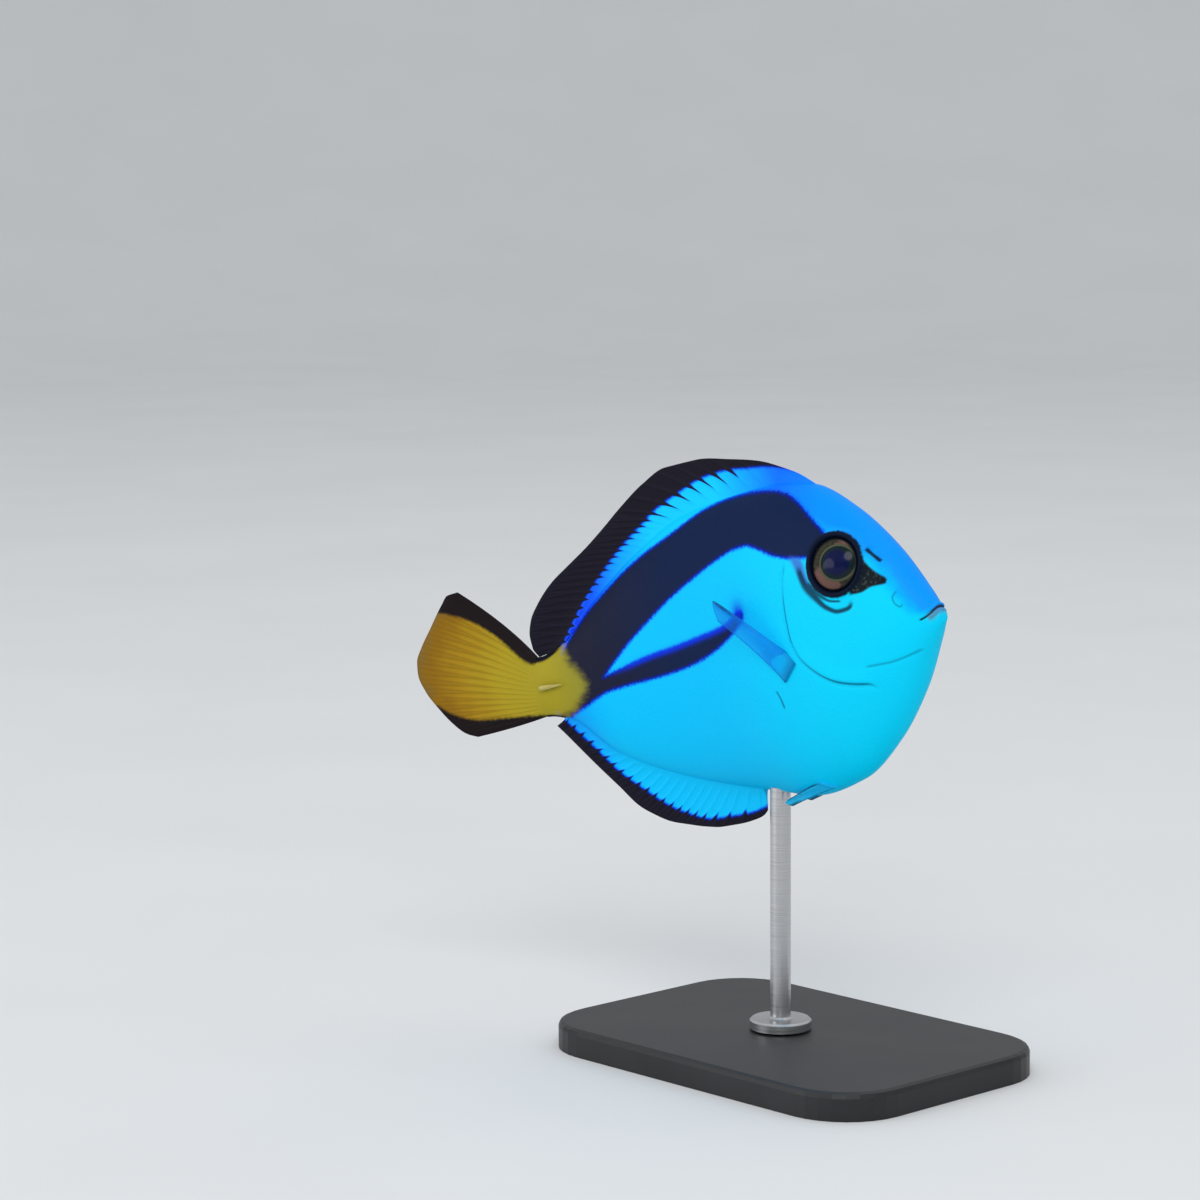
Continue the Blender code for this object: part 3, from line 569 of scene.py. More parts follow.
def shapeHead(points, normals):
    # raises the lips, the eyes' rims and the gill cover's edge, and sinks the folds and nostrils
    places = np.column_stack([points[:, 0], points[:, 2]])
    lift = np.zeros(len(points))
    kept = {}
    for name, (line, depth, width, dark) in creases.items():
        beside, along = besidePath(places, smoothPath(line))
        fade = np.minimum(ease(0, 0.10, along), ease(1, 0.90, along))
        wider = 1 + bulges.get(name, 0) * bump(along - 0.30, 0.24)
        kept[name] = np.column_stack([beside, fade * dark, width * wider])
        if name == "gill":
            behind, wide = skin["gillGroove"]
            ahead = ease(-behind, behind, -beside) * bump(np.maximum(-beside, 0), skin["gillAhead"])
            lift += fade * skin["gillLift"] * ahead
            lift -= fade * depth * bump(beside - behind, wide)
        else:
            lift -= fade * depth * bump(beside, width * 0.9)
    for (s, h), radius in skin["nostrils"]:
        lift -= skin["nostrilDepth"] * bump(np.hypot(places[:, 0] - s, places[:, 1] - h), radius)
    moved = points + normals * lift[:, None]
    near = points[:, 0] < 7
    mouth = np.zeros(near.sum())
    lipAway = np.full(len(points), 9.0)
    for lip in ("upperLip", "lowerLip"):
        half = skin[lip]
        mirrored = [(s, -w, h) for s, w, h in half[-2::-1]]
        path = smoothPath(half + mirrored)
        for t in np.linspace(0, 1, 61):
            thick = skin["lipThickness"] * (0.55 + 0.45 * math.sin(math.pi * t))
            thick *= math.sqrt(max(0.0, 1 - abs(2 * t - 1) ** 6))
            mouth = np.maximum(mouth, pushOutOfTube(moved[near], normals[near], [path(t)], thick))
            if lip == "lowerLip" and 0.15 < t < 0.85:
                lipAway = np.minimum(lipAway, np.linalg.norm(points - path(t), axis=1))
    moved[near] += normals[near] * mouth[:, None]
    eyeAway = np.full(len(points), 99.0)
    for side in (1, -1):
        axes = sideFrame(*eye["at"], side)
        local = (moved - axes[:3, 3]) @ axes[:3, :3]
        away = np.hypot(local[:, 0], local[:, 1])
        here = (away < 9) & (points[:, 1] * side > 0)
        flat = eye["socketFlat"] * ease(*eye["socketFade"], away) * here
        flat *= ease(0.8, 3.4, np.abs(points[:, 1]))
        rim = eye["rimHeight"] * bump(away - eye["rim"], eye["rimWidth"])
        cup = eye["cupDepth"] * ease(*eye["cupFade"], away)
        target = local[:, 2] * (1 - flat) + here * (rim - cup)
        moved += np.outer(target - local[:, 2], axes[:3, 2]) * here[:, None]
        eyeAway[here] = away[here]
    return moved, kept, eyeAway, lipAway


def skinFinish():
    material, tree, shader = newFinish("tang_skin_finish", 0.46, 0.07)
    drawn, s, colour = blueCoat(tree)
    band = calc(tree, "ADD", readValue(tree, "band"), wander(tree, drawn, 2.2, 0.7))
    colour = layer(tree, colour, band, -0.75, -0.15, coat["haloOuter"])
    colour = layer(tree, colour, band, -0.38, 0.08, coat["halo"])
    dark = layer(tree, coat["band"], s, 55, 88, coat["bandRear"])
    colour = layer(tree, colour, band, -0.02, 0.50, dark)
    colour = blendColours(tree, readValue(tree, "commaGlow"), colour, coat["commaGlow"])
    yellowEnd = wander(tree, stretch(tree, drawn, (0.6, 1, 1.3)), 0.9, 2.2)
    yellowAway = calc(tree, "ADD", readValue(tree, "yellow"), yellowEnd)
    yellow = layer(tree, coat["yellowFront"], s, 84, 93, coat["yellow"])
    colour = layer(tree, colour, yellowAway, -1.1, 1.9, yellow)
    colour = blendColours(tree, readValue(tree, "rootEdge"), colour, coat["finBlack"])
    patch = rise(tree, readValue(tree, "eyePatch"), -0.7, 0.5)
    colour = blendColours(tree, calc(tree, "MULTIPLY", patch, 0.85), colour, coat["eyePatch"])
    # dark lines along the folds, mouth and nostrils: painted shade in these hollows over the head's own fine
    # lines
    for name in creases:
        beside, dark, width = split(tree, readValue(tree, name, "Vector"))
        line = calc(tree, "DIVIDE", calc(tree, "ABSOLUTE", beside), width)
        share = calc(tree, "MULTIPLY", rise(tree, line, 1.25, 0.25), dark)
        colour = blendColours(tree, share, colour, coat[darkCreases.get(name, "creaseLineAndShade")])
    mottle = noise(tree, drawn, 1.6, 3.0)
    orbit = blendColours(tree, rise(tree, mottle, 0.50, 0.80), coat["orbit"], coat["orbitGlint"])
    colour = layer(tree, colour, readValue(tree, "eyePoint"), -0.15, 0.35, orbit)
    away = calc(tree, "MULTIPLY_ADD", mottle, 0.5, readValue(tree, "eyeAway"))
    colour = layer(tree, colour, away, 6.30, 5.90, coat["eyeRing"])
    colour = blendColours(tree, readValue(tree, "lips"), colour, coat["lip"])
    joinTo(tree, shader.inputs["Base Color"], colour)
    scales = tree.nodes.new("ShaderNodeTexVoronoi")
    scales.feature = "SMOOTH_F1"
    scales.inputs["Scale"].default_value = 2.6
    scales.inputs["Smoothness"].default_value = 0.4
    tree.links.new(stretch(tree, drawn, (0.75, 0.5, 1.25)), scales.inputs["Vector"])
    raiseSurface(tree, shader, scales.outputs["Distance"], 0.22, 0.00012)
    return material


def makeSkin():
    piece = plainSkin()
    mesh = piece.data
    plain = readPoints(mesh)
    moved, folds, eyeAway, lipAway = shapeHead(plain, readPoints(mesh, "normal"))
    places = plain[:, [0, 2]]
    belowBack = backHeight(np.maximum(plain[:, 0], 0)) - plain[:, 2]
    aboveBelly = plain[:, 2] - bellyHeight(np.maximum(plain[:, 0], 0))
    topAway, topAlong = besidePath(places, smoothPath(commaUpper))
    tipAway = np.hypot(places[:, 0] - 40.4, (places[:, 1] - 7.2) * 0.85)
    topGlow = bump(topAway, 0.55) * ease(0.0, 0.05, topAlong) * ease(1.0, 0.7, topAlong)
    rootTop = ease(1.25, 0.65, belowBack) * ease(88.0, 90.5, plain[:, 0])
    rootBottom = ease(0.70, 0.30, aboveBelly) * ease(89.5, 91.5, plain[:, 0])
    keepValues(mesh, drawn=plain, belowBack=belowBack, band=insideOutline(places, bandOutline),
               commaGlow=0.85 * np.maximum(topGlow, bump(tipAway, 1.5)),
               yellow=besidePath(places, smoothPath(yellowEdge))[0],
               rootEdge=np.maximum(rootTop, rootBottom), eyePoint=insideOutline(places, [eyePoint]),
               eyePatch=insideOutline(places, [eyePatch]), eyeAway=eyeAway,
               lips=0.8 * bump(lipAway, 0.55) * ease(2.2, 1.2, plain[:, 0]), **folds)
    writePoints(mesh, placeFish(moved))
    dress(piece, skinFinish(), "skin_blue", "head", "trunk", "tail_root")


makeSkin()


# Fins

fins = {
    "membrane": 0.10,            # half thicknesses
    "flare": 0.75,
    "edge": 0.05,
    "spineHeight": 0.22,
    "rayHeight": 0.13,
    "rootDepth": 0.45,           # how far a fin's foot stands in the skin
    "flareFade": 5,
    "spineTaper": 0.6,           # share of a spine's height that is gone at its tip
    "rayTaper": 0.4,
    "heightFade": (0.03, 0.22),
    "spineWidth": 0.13,
    "rayWidth": 0.17,
    "widthLoss": 0.07,
    "fork": (0.25, 0.35),        # spread of a ray's first fork, and where it begins
    "twig": (0.11, 0.65),
    "edgeFrom": 0.95,
    "sag": 0.10,
    "cellsPerRay": 10,
    "rows": 34,
}

dorsalFin = {
    "root": (22.5, 91.0),
    "edge": [(22.9, 26.6), (25.9, 28.7), (29.7, 30.5), (34.9, 32.5), (42, 34.0), (50.5, 35.3), (58, 35.2),
             (64, 33.2), (70.2, 29.8), (75, 26.7), (79.5, 23.9), (84, 21.4), (88.3, 18.9), (92, 15.7),
             (94.4, 12.6), (95.3, 9.6), (95.2, 7.5), (94.2, 5.7)],
    "lean": [(0, 0), (0.124, 0.147), (0.258, 0.34), (0.40, 0.48), (0.547, 0.62), (0.693, 0.752),
             (0.839, 0.884), (1, 1)],
    "spines": np.linspace(31.0, 57.4, 9),
    "rays": np.linspace(59.3, 89.4, 19),
    "blackEdge": [(22.0, 27.9), (25.0, 28.9), (28.0, 30.0), (31.5, 31.0), (35.2, 31.7), (38.9, 32.0),
                  (43.5, 32.2), (49.2, 31.9), (56, 30.2), (62.6, 27.9), (66.7, 25.8), (72.1, 22.7),
                  (77.7, 18.4), (82.1, 14.5), (85.9, 10.4), (88.7, 7.1), (90.5, 5.0)],
    "spikes": (2.8, 1.0),        # how far the black runs in along a spine and along a ray
    "spikeWidths": (0.13, 0.24),
    "spikesFrom": (38.0, 43.0),
}

analFin = {
    "root": (50.6, 91.0),
    "edge": [(51.4, -29.5), (52.6, -30.3), (54.6, -30.8), (58, -31.2), (62.7, -31.3), (66.5, -30.8),
             (70.3, -29.9), (73.8, -28.9), (77.3, -27.0), (79.9, -25.1), (83.3, -20.9), (86.6, -16.8),
             (88.9, -13.8), (92.2, -9.4), (93.6, -7.6)],
    "lean": [(0, 0), (0.2, 0.30), (0.4, 0.48), (0.6, 0.66), (0.8, 0.85), (1, 1)],
    "spines": np.linspace(51.8, 56.2, 3),
    "rays": np.linspace(58.0, 90.4, 19),
    "blackEdge": [(48.5, -27.6), (51.6, -29.0), (56.0, -29.7), (62.2, -29.8), (65.2, -29.6),
                  (69.5, -28.1), (73.5, -26.0), (78.1, -22.3), (82.6, -18.2), (86.7, -13.0),
                  (90.9, -7.9), (93, -5.4)],
    "spikes": (0.7, 1.0),
    "spikeWidths": (0.16, 0.17),
    "spikesFrom": (53.0, 57.0),
}

tailFin = {
    "rootS": 95.0,
    "rootHeights": (5.45, -5.45),
    "edge": [(108.6, 20.8), (110.8, 20.6), (112.6, 19.0), (116, 15.2), (118.8, 12), (120.5, 9.4),
             (120.9, 6.6), (120.1, 3.6), (117.9, -0.4), (115.7, -3.5), (113.2, -5.9), (110.9, -6.9)],
    "start": [(0, 58), (0.25, 38), (0.5, 17), (0.75, 2), (1, -9)],
    "rays": 17,
    "arm": 0.42,                 # how far a ray keeps its first direction
    "rootShare": 0.94,           # half thickness at the root, as a share of the body's
    "rootFade": 2.4,
    "colours": [(0.0, (0.38, 0.31, 0.020)), (0.40, (0.42, 0.31, 0.016)), (0.70, (0.39, 0.23, 0.010)),
                (0.92, (0.30, 0.145, 0.007)), (1.0, (0.24, 0.14, 0.03))],
    "rayColour": (0.15, 0.085, 0.004),
    "black": (0.010, 0.006, 0.007),
    "upperBlack": [(93.0, 4.6), (95.6, 4.8), (97.6, 6.2), (99.8, 8.6), (102.9, 11.9), (107.2, 15.1),
                   (111.7, 17.2), (116, 18.6)],
    "lowerBlack": [(94.0, -5.4), (97.8, -5.0), (103.2, -4.5), (109.7, -3.9), (114.8, -2.1), (118, 0.2)],
}

pectoralFin = {
    "root": [(28.9, -3.4), (30.5, -4.9), (32.1, -6.4)],
    "edge": [(39.4, 14.5, 10.2), (41.0, 13.0, 10.1), (42.6, 11.6, 9.4), (43.4, 10.8, 8.0),
             (43.3, 10.6, 6.4)],
    "rays": 14,
    "bow": (0, 2.0, 3.5),
}

pelvicFin = {
    "root": [(31.2, -78), (32.6, -72), (34.0, -66)],
    "edge": [(42.6, 2.6, -29.0), (43.8, 2.5, -28.6), (44.2, 2.6, -28.2), (43.2, 2.9, -27.8)],
    "rays": 6,
    "bow": (0, 1.6, 0),
}


clearLooks = {
    # the pectoral fin's dark foot is painted shade at the fin's root
    "pectoral": {"membrane": (0.0, 0.30, 0.98), "ray": (0.0, 0.20, 0.88), "edge": (0.0, 0.16, 0.75),
                 "foot": (0.0, 0.16, 0.42), "tip": (0.0, 0.03, 0.18),
                 "density": 0.20, "rayDensity": 0.16, "edgeDensity": 0.45},
    "pelvic": {"membrane": (0.0, 0.50, 0.90), "ray": (0.02, 0.62, 0.95), "edge": (0.002, 0.10, 0.20),
               "foot": (0.0, 0.50, 0.95), "tip": (0.002, 0.12, 0.24),
               "density": 0.85, "rayDensity": 0.12, "edgeDensity": 0.95},
}


def ridge(s, w, side):
    # height of the back, side 1, or of the belly, side -1, a distance w from the middle
    middle, half, wide, powerW, powerH = section(s)
    share = np.clip(np.abs(w) / wide, 0, 1) ** (1 / powerW)
    return middle + side * half * (1 - share ** 2) ** (powerH / 2)


def rayRise(phase, v, spines, rays):
    # 1 on a ray and 0 between rays; the soft rays fork twice on their way out
    nearest = np.clip(np.rint(phase), 1, spines + rays)
    beside = np.abs(phase - nearest)
    fork, twig = (spread * ease(start, 1.0, v) for spread, start in (fins["fork"], fins["twig"]))
    forked = np.abs(np.abs(beside - fork) - twig)
    spine = nearest <= spines
    width = np.where(spine, fins["spineWidth"], fins["rayWidth"]) - fins["widthLoss"] * v
    return bump(np.where(spine, beside, forked), width), spine


def finMesh(name, stops, middle, halfThick, spines=0):
    # a fin between its two faces, with columns on each ray and between the rays
    gaps = len(stops) - 1
    columns, rows = gaps * fins["cellsPerRay"], fins["rows"]
    bm = bmesh.new()
    bmesh.ops.create_grid(bm, x_segments=columns, y_segments=rows, size=1)
    copy = bmesh.ops.duplicate(bm, geom=bm.verts[:] + bm.edges[:] + bm.faces[:])["geom"]
    copied = [item for item in copy if isinstance(item, bmesh.types.BMVert)]
    bmesh.ops.translate(bm, verts=copied, vec=(0, 0, 1))
    bmesh.ops.bridge_loops(bm, edges=[edge for edge in bm.edges if edge.is_boundary])
    piece = makePiece(name, bm)
    grid = readPoints(piece.data)
    phase = (grid[:, 0] + 1) / 2 * gaps
    u = np.interp(phase, np.arange(gaps + 1), stops)
    v = (grid[:, 1] + 1) / 2
    face = 2 * grid[:, 2] - 1
    step = 0.002
    across = middle(np.minimum(u + step, 1), v) - middle(np.maximum(u - step, 0), v)
    along = middle(u, np.minimum(v + step, 1)) - middle(u, np.maximum(v - step, 0))
    normal = np.cross(across, along)
    normal /= np.linalg.norm(normal, axis=1)[:, None]
    rise, isSpine = rayRise(phase, v, spines, gaps - 1 - spines)
    height = np.where(isSpine, fins["spineHeight"] * (1 - fins["spineTaper"] * v),
                      fins["rayHeight"] * (1 - fins["rayTaper"] * v))
    height *= ease(*fins["heightFade"], v)
    edge = np.sqrt(np.clip(1 - np.clip((v - fins["edgeFrom"]) / (1 - fins["edgeFrom"]), 0, 1) ** 2, 0, 1))
    thick = fins["edge"] + (halfThick(u, v) + rise * height - fins["edge"]) * edge
    plain = middle(u, v)
    keepValues(piece.data, rayRise=rise, reach=v)
    return piece, plain, plain + (face * thick)[:, None] * normal, u, v, phase


def membrane(u, v):
    return fins["membrane"] + fins["flare"] * (1 - v) ** fins["flareFade"]


def spikeReach(phase, s, fin):
    # how far the black of a fin's margin runs in along the nearest spine or ray
    beside = np.abs(phase - np.rint(phase))
    spine = np.rint(phase) <= len(fin["spines"])
    length, width = np.where(spine, *fin["spikes"]), np.where(spine, *fin["spikeWidths"])
    return length * (np.clip(1 - beside / width, 0, 1) - 0.10) * ease(*fin["spikesFrom"], s)


def finFinish(name):
    material, tree, shader = newFinish(name, 0.48, 0.09)
    drawn, _, colour = blueCoat(tree)
    margin = calc(tree, "ADD", readValue(tree, "margin"), wander(tree, drawn, 1.4, 0.4))
    colour = layer(tree, colour, margin, -0.75, -0.2, coat["haloOuter"])
    colour = layer(tree, colour, margin, -0.36, -0.02, coat["halo"])
    rays = calc(tree, "MULTIPLY", readValue(tree, "rayRise"), 0.3)
    black = blendColours(tree, rays, coat["finBlack"], coat["bandRear"])
    colour = layer(tree, colour, margin, -0.10, 0.25, black)
    joinTo(tree, shader.inputs["Base Color"], colour)
    raiseSurface(tree, shader, noise(tree, drawn, 6.0, 3.0), 0.12, 0.0001)
    return material


def makeUnpairedFin(name, side, fin, node):
    # a dorsal fin, side 1, or an anal fin, side -1, rooted all along the body
    edgePath = smoothPath(fin["edge"])
    lean = smoothCurve(fin["lean"])
    first, last = fin["root"]

    def middle(u, v):
        s = first + u * (last - first)
        start = np.stack([s, ridge(s, 0.0, side) - side * fins["rootDepth"]], axis=-1)
        tip = edgePath(lean(u))
        sag = fins["sag"] * np.linalg.norm(tip - start, axis=-1) * v * (1 - v)
        at = start + v[:, None] * (tip - start)
        return np.stack([at[:, 0] - 0.5 * sag, np.zeros_like(s), at[:, 1] + side * sag], axis=-1)

    places = np.concatenate([fin["spines"], fin["rays"]])
    stops = [0, *((places - first) / (last - first)), 1]
    piece, plain, points, u, v, phase = finMesh(name, stops, middle, membrane, len(fin["spines"]))
    beside, _ = besidePath(plain[:, [0, 2]], smoothPath(fin["blackEdge"]))
    margin = side * beside + spikeReach(phase, plain[:, 0], fin)
    belowBack = backHeight(plain[:, 0]) - plain[:, 2] if side > 0 else np.full(len(plain), 30.0)
    keepValues(piece.data, drawn=plain, belowBack=belowBack, margin=margin)
    writePoints(piece.data, placeFish(points))
    dress(piece, finFinish(name + "_finish"), "fin_margin", node)


def tailFinish():
    material, tree, shader = newFinish("tail_fin_finish", 0.46, 0.07)
    drawn = readValue(tree, "drawn", "Vector")
    reach = readValue(tree, "reach")
    rays = readValue(tree, "rayRise")
    cloud = noise(tree, drawn, 0.25, 2.0)
    aged = calc(tree, "MULTIPLY_ADD", cloud, 0.24, calc(tree, "SUBTRACT", reach, 0.12))
    colour = colourRamp(tree, aged, tailFin["colours"])
    dusk = calc(tree, "MULTIPLY", rays, rise(tree, reach, 0.15, 0.6))
    colour = blendColours(tree, calc(tree, "MULTIPLY", dusk, 0.40), colour, tailFin["rayColour"])
    margin = calc(tree, "ADD", readValue(tree, "margin"), wander(tree, drawn, 1.2, 0.6))
    colour = layer(tree, colour, margin, -0.6, 0.3, tailFin["black"])
    joinTo(tree, shader.inputs["Base Color"], colour)
    raiseSurface(tree, shader, noise(tree, drawn, 6.0, 3.0), 0.12, 0.0001)
    return material


def makeTailFin():
    edgePath = smoothPath(tailFin["edge"])
    startAngle = smoothCurve(tailFin["start"])
    top, bottom = tailFin["rootHeights"]

    def middle(u, v):
        start = np.full_like(u, tailFin["rootS"] - fins["rootDepth"])
        root = np.stack([start, top + u * (bottom - top)], axis=-1)
        tip = edgePath(u)
        angle = np.radians(startAngle(u))
        arm = tailFin["arm"] * np.linalg.norm(tip - root, axis=-1)
        bend = root + arm[:, None] * np.stack([np.cos(angle), np.sin(angle)], axis=-1)
        v = v[:, None]
        at = (1 - v) ** 2 * root + 2 * v * (1 - v) * bend + v * v * tip
        return np.stack([at[:, 0], np.zeros(len(at)), at[:, 1]], axis=-1)

    def halfThick(u, v):
        root = tailFin["rootShare"] * flank(tailFin["rootS"], top + u * (bottom - top))
        return fins["membrane"] + np.maximum(root - fins["membrane"], 0) * (1 - v) ** tailFin["rootFade"]

    stops = np.linspace(0, 1, tailFin["rays"] + 2)
    piece, plain, points, u, v, phase = finMesh("tail_fin", stops, middle, halfThick)
    places = plain[:, [0, 2]]
    upper, _ = besidePath(places, smoothPath(tailFin["upperBlack"]))
    lower, _ = besidePath(places, smoothPath(tailFin["lowerBlack"]))
    keepValues(piece.data, drawn=plain, margin=np.maximum(upper, -lower))
    writePoints(piece.data, placeFish(points))
    dress(piece, tailFinish(), "tail_yellow", "caudal_fin")


def clearFinFinish(name, look):
    # a thin blue membrane that the flank shows through, its rays and outer edges denser; its foot is denser
    # too, and on the pectoral fins darker, which is painted shade at the root
    material, tree, shader = newFinish(name, 0.4, 0.15)
    drawn = readValue(tree, "drawn", "Vector")
    rays = readValue(tree, "rayRise")
    reach = readValue(tree, "reach")
    across = readValue(tree, "across")
    edges = calc(tree, "MAXIMUM", rise(tree, across, 0.10, 0.01), rise(tree, across, 0.93, 0.99))
    tip = readValue(tree, "tipDark")
    # the foot, darker towards the root: painted shade on the pectoral fins
    foot = rise(tree, reach, 0.17, 0.0)
    colour = blendColours(tree, rays, look["membrane"], look["ray"])
    colour = blendColours(tree, edges, colour, look["edge"])
    colour = blendColours(tree, calc(tree, "MULTIPLY", foot, 0.85), colour, look["foot"])
    colour = blendColours(tree, tip, colour, look["tip"])
    joinTo(tree, shader.inputs["Base Color"], colour)
    dense = calc(tree, "MULTIPLY_ADD", rays, look["rayDensity"], look["density"])
    dense = calc(tree, "MAXIMUM", dense, calc(tree, "MULTIPLY", edges, look["edgeDensity"]))
    dense = calc(tree, "MAXIMUM", dense, calc(tree, "MULTIPLY", foot, 0.6))
    darkTip = calc(tree, "MULTIPLY", tip, calc(tree, "MULTIPLY_ADD", rays, 0.5, 0.08))
    dense = calc(tree, "MAXIMUM", dense, darkTip)
    tree.links.new(dense, shader.inputs["Alpha"])
    raiseSurface(tree, shader, noise(tree, drawn, 6.0, 3.0), 0.1, 0.0001)
    return material


def makePairedFin(name, side, rootPoints, fin, material, node):
    edgePath = smoothPath(fin["edge"])

    def middle(u, v):
        start = rootPoints(u)
        tip = edgePath(u)
        return start + v[:, None] * (tip - start) + np.outer(v * (1 - v), fin["bow"])

    stops = np.linspace(0, 1, fin["rays"] + 2)
    piece, plain, points, u, v, phase = finMesh(name, stops, middle, membrane)
    points[:, 1] *= side
    plain[:, 1] *= side
    keepValues(piece.data, drawn=plain, across=u, tipDark=ease(0.62, 0.9, v) * ease(0.45, 0.15, u))
    writePoints(piece.data, placeFish(points))
    dress(piece, material, "fin_clear_blue", node)


def pectoralRoot(u):
    place = smoothPath(pectoralFin["root"])(u)
    s, h = place[..., 0], place[..., 1]
    return np.stack([s, flank(s, h) - fins["rootDepth"], h], axis=-1)


def pelvicRoot(u):
    place = smoothPath(pelvicFin["root"])(u)
    return skinPoints(place[..., 0], np.radians(place[..., 1]), -fins["rootDepth"])


makeUnpairedFin("dorsal_fin_blade", 1, dorsalFin, "dorsal_fin")
makeUnpairedFin("anal_fin_blade", -1, analFin, "anal_fin")
makeTailFin()
pectoralFinish = clearFinFinish("pectoral_finish", clearLooks["pectoral"])
pelvicFinish = clearFinFinish("pelvic_finish", clearLooks["pelvic"])
for side, word in ((1, "right"), (-1, "left")):
    makePairedFin("pectoral_blade_" + word, side, pectoralRoot, pectoralFin, pectoralFinish,
                  "pectoral_fin_" + word)
    makePairedFin("pelvic_blade_" + word, side, pelvicRoot, pelvicFin, pelvicFinish, "pelvic_fin_" + word)


# Eyes and tail blades

def eyeFinish():
    # a dark blue pupil in a blackish green ring, then a thin olive ring and a brown iris that
    # is pinkish below its rear and above its front
    material, tree, shader = newFinish("eye_finish", 0.14, 0.12, 0.08)
    shader.inputs["Coat Roughness"].default_value = 0.05
    pink, fromMiddle, away = split(tree, readValue(tree, "gaze", "Vector"))
    drawn = readValue(tree, "drawn", "Vector")
    mottle = noise(tree, drawn, 1.3, 3.0)
    iris = colourRamp(tree, noise(tree, drawn, 4.5, 3.0), eye["iris"])
    blush = calc(tree, "MULTIPLY_ADD", mottle, 0.9, calc(tree, "SUBTRACT", pink, 0.55))
    iris = layer(tree, iris, blush, 0.52, 0.78, eye["blush"])
    colour = layer(tree, eye["pupilColour"], away, 0.86, 1.06, eye["pupilRing"])
    olive = calc(tree, "MULTIPLY", rise(tree, away, 1.24, 1.34), rise(tree, away, 1.50, 1.38))
    colour = layer(tree, colour, away, 1.36, 1.50, iris)
    colour = blendColours(tree, olive, colour, eye["oliveRing"])
    colour = layer(tree, colour, fromMiddle, 4.1, 4.5, eye["outerRing"])
    joinTo(tree, shader.inputs["Base Color"], colour)
    return material


def makeEye(side, word, material):
    bm = bmesh.new()
    bmesh.ops.create_uvsphere(bm, u_segments=eye["segments"], v_segments=eye["segments"] // 2, radius=1)
    piece = makePiece("eyeball_" + word, bm)
    ball = readPoints(piece.data)
    local = ball * (eye["radius"], eye["radius"], eye["depth"]) - (0, 0, eye["sink"])
    wide, high = eye["pupil"]
    x, y = eye["pupilAhead"] - side * local[:, 0], local[:, 1]
    away = np.hypot(x / wide, y / high)
    local[:, 2] += eye["lens"][0] * bump(away, eye["lens"][1]) * (ball[:, 2] > 0)
    axes = sideFrame(*eye["at"], side)
    points = local @ axes[:3, :3].T + axes[:3, 3]
    pink = np.abs(x - y) / np.maximum(np.hypot(x, y), 0.001) / math.sqrt(2)
    fromMiddle = np.hypot(local[:, 0], local[:, 1])
    gaze = np.column_stack([pink, fromMiddle, np.where(ball[:, 2] > 0, away, 9)])
    keepValues(piece.data, gaze=gaze, drawn=points)
    writePoints(piece.data, placeFish(points))
    dress(piece, material, "eye_glass", "eye_" + word)


tailBlade = {
    "from": 89.0,
    "to": 94.6,
    "height": 0.62,
    "thickness": 0.42,
    "segments": 24,
}


def makeTailBlade(side, word, material):
    # the blade that lies folded along the tail's root, its point forward
    count = tailBlade["segments"]
    bm = bmesh.new()
    bmesh.ops.create_uvsphere(bm, u_segments=count, v_segments=count, radius=1)
    piece = makePiece("tail_blade_" + word, bm)
    ball = readPoints(piece.data)
    t = np.arccos(np.clip(ball[:, 2], -1, 1)) / math.pi
    turn = np.arctan2(ball[:, 1], -ball[:, 0])
    s = tailBlade["from"] + t * (tailBlade["to"] - tailBlade["from"])
    size = t ** 0.7 * np.sqrt(np.clip(1 - t ** 12, 0, 1))
    h = size * tailBlade["height"] * np.sin(turn)
    out = size * tailBlade["thickness"] * np.cos(turn)
    w = flank(s, 0.0) + 0.15 + tailBlade["thickness"] + 0.02 * (tailBlade["to"] - s) + out
    points = np.column_stack([s, side * w, h])
    keepValues(piece.data, drawn=points)
    writePoints(piece.data, placeFish(points))
    dress(piece, material, "spine_horn", "tail_spine_" + word)


def hornFinish():
    material, tree, shader = newFinish("horn_finish", 0.35, 0.4, 0.1)
    drawn = readValue(tree, "drawn", "Vector")
    streak = noise(tree, stretch(tree, drawn, (0.3, 1, 3)), 2.5, 3.0)
    colour = colourRamp(tree, streak, [(0.3, (0.38, 0.31, 0.05)), (0.7, (0.50, 0.42, 0.12))])
    joinTo(tree, shader.inputs["Base Color"], colour)
    raiseSurface(tree, shader, streak, 0.15, 0.00005)
    return material


eyeMaterial = eyeFinish()
hornMaterial = hornFinish()
for side, word in ((1, "right"), (-1, "left")):
    makeEye(side, word, eyeMaterial)
    makeTailBlade(side, word, hornMaterial)
print("fish made")


# Stand

stand = {
    "baseHeight": 0.004,
    "gap": 0.0003,
    "rodRadius": 0.0015,
    "footRadius": 0.0045,
    "footHeight": 0.0014,
    "footEdge": 0.0003,
    "rodDepth": 0.0006,          # how far the rod's top stands in the belly
    "segments": 64,
}


def paintFinish():
    material, tree, shader = newFinish("black_paint", 0.42, 0.4)
    place = tree.nodes.new("ShaderNodeTexCoord").outputs["Object"]
    cloud = noise(tree, place, 60.0, 4.0)
    colour = colourRamp(tree, cloud, [(0.35, (0.010, 0.010, 0.011)), (0.7, (0.018, 0.018, 0.020))])
    joinTo(tree, shader.inputs["Base Color"], colour)
    tree.links.new(calc(tree, "MULTIPLY_ADD", cloud, 0.16, 0.36), shader.inputs["Roughness"])
    raiseSurface(tree, shader, noise(tree, place, 1800.0, 2.0), 0.10, 0.00008)
    return material


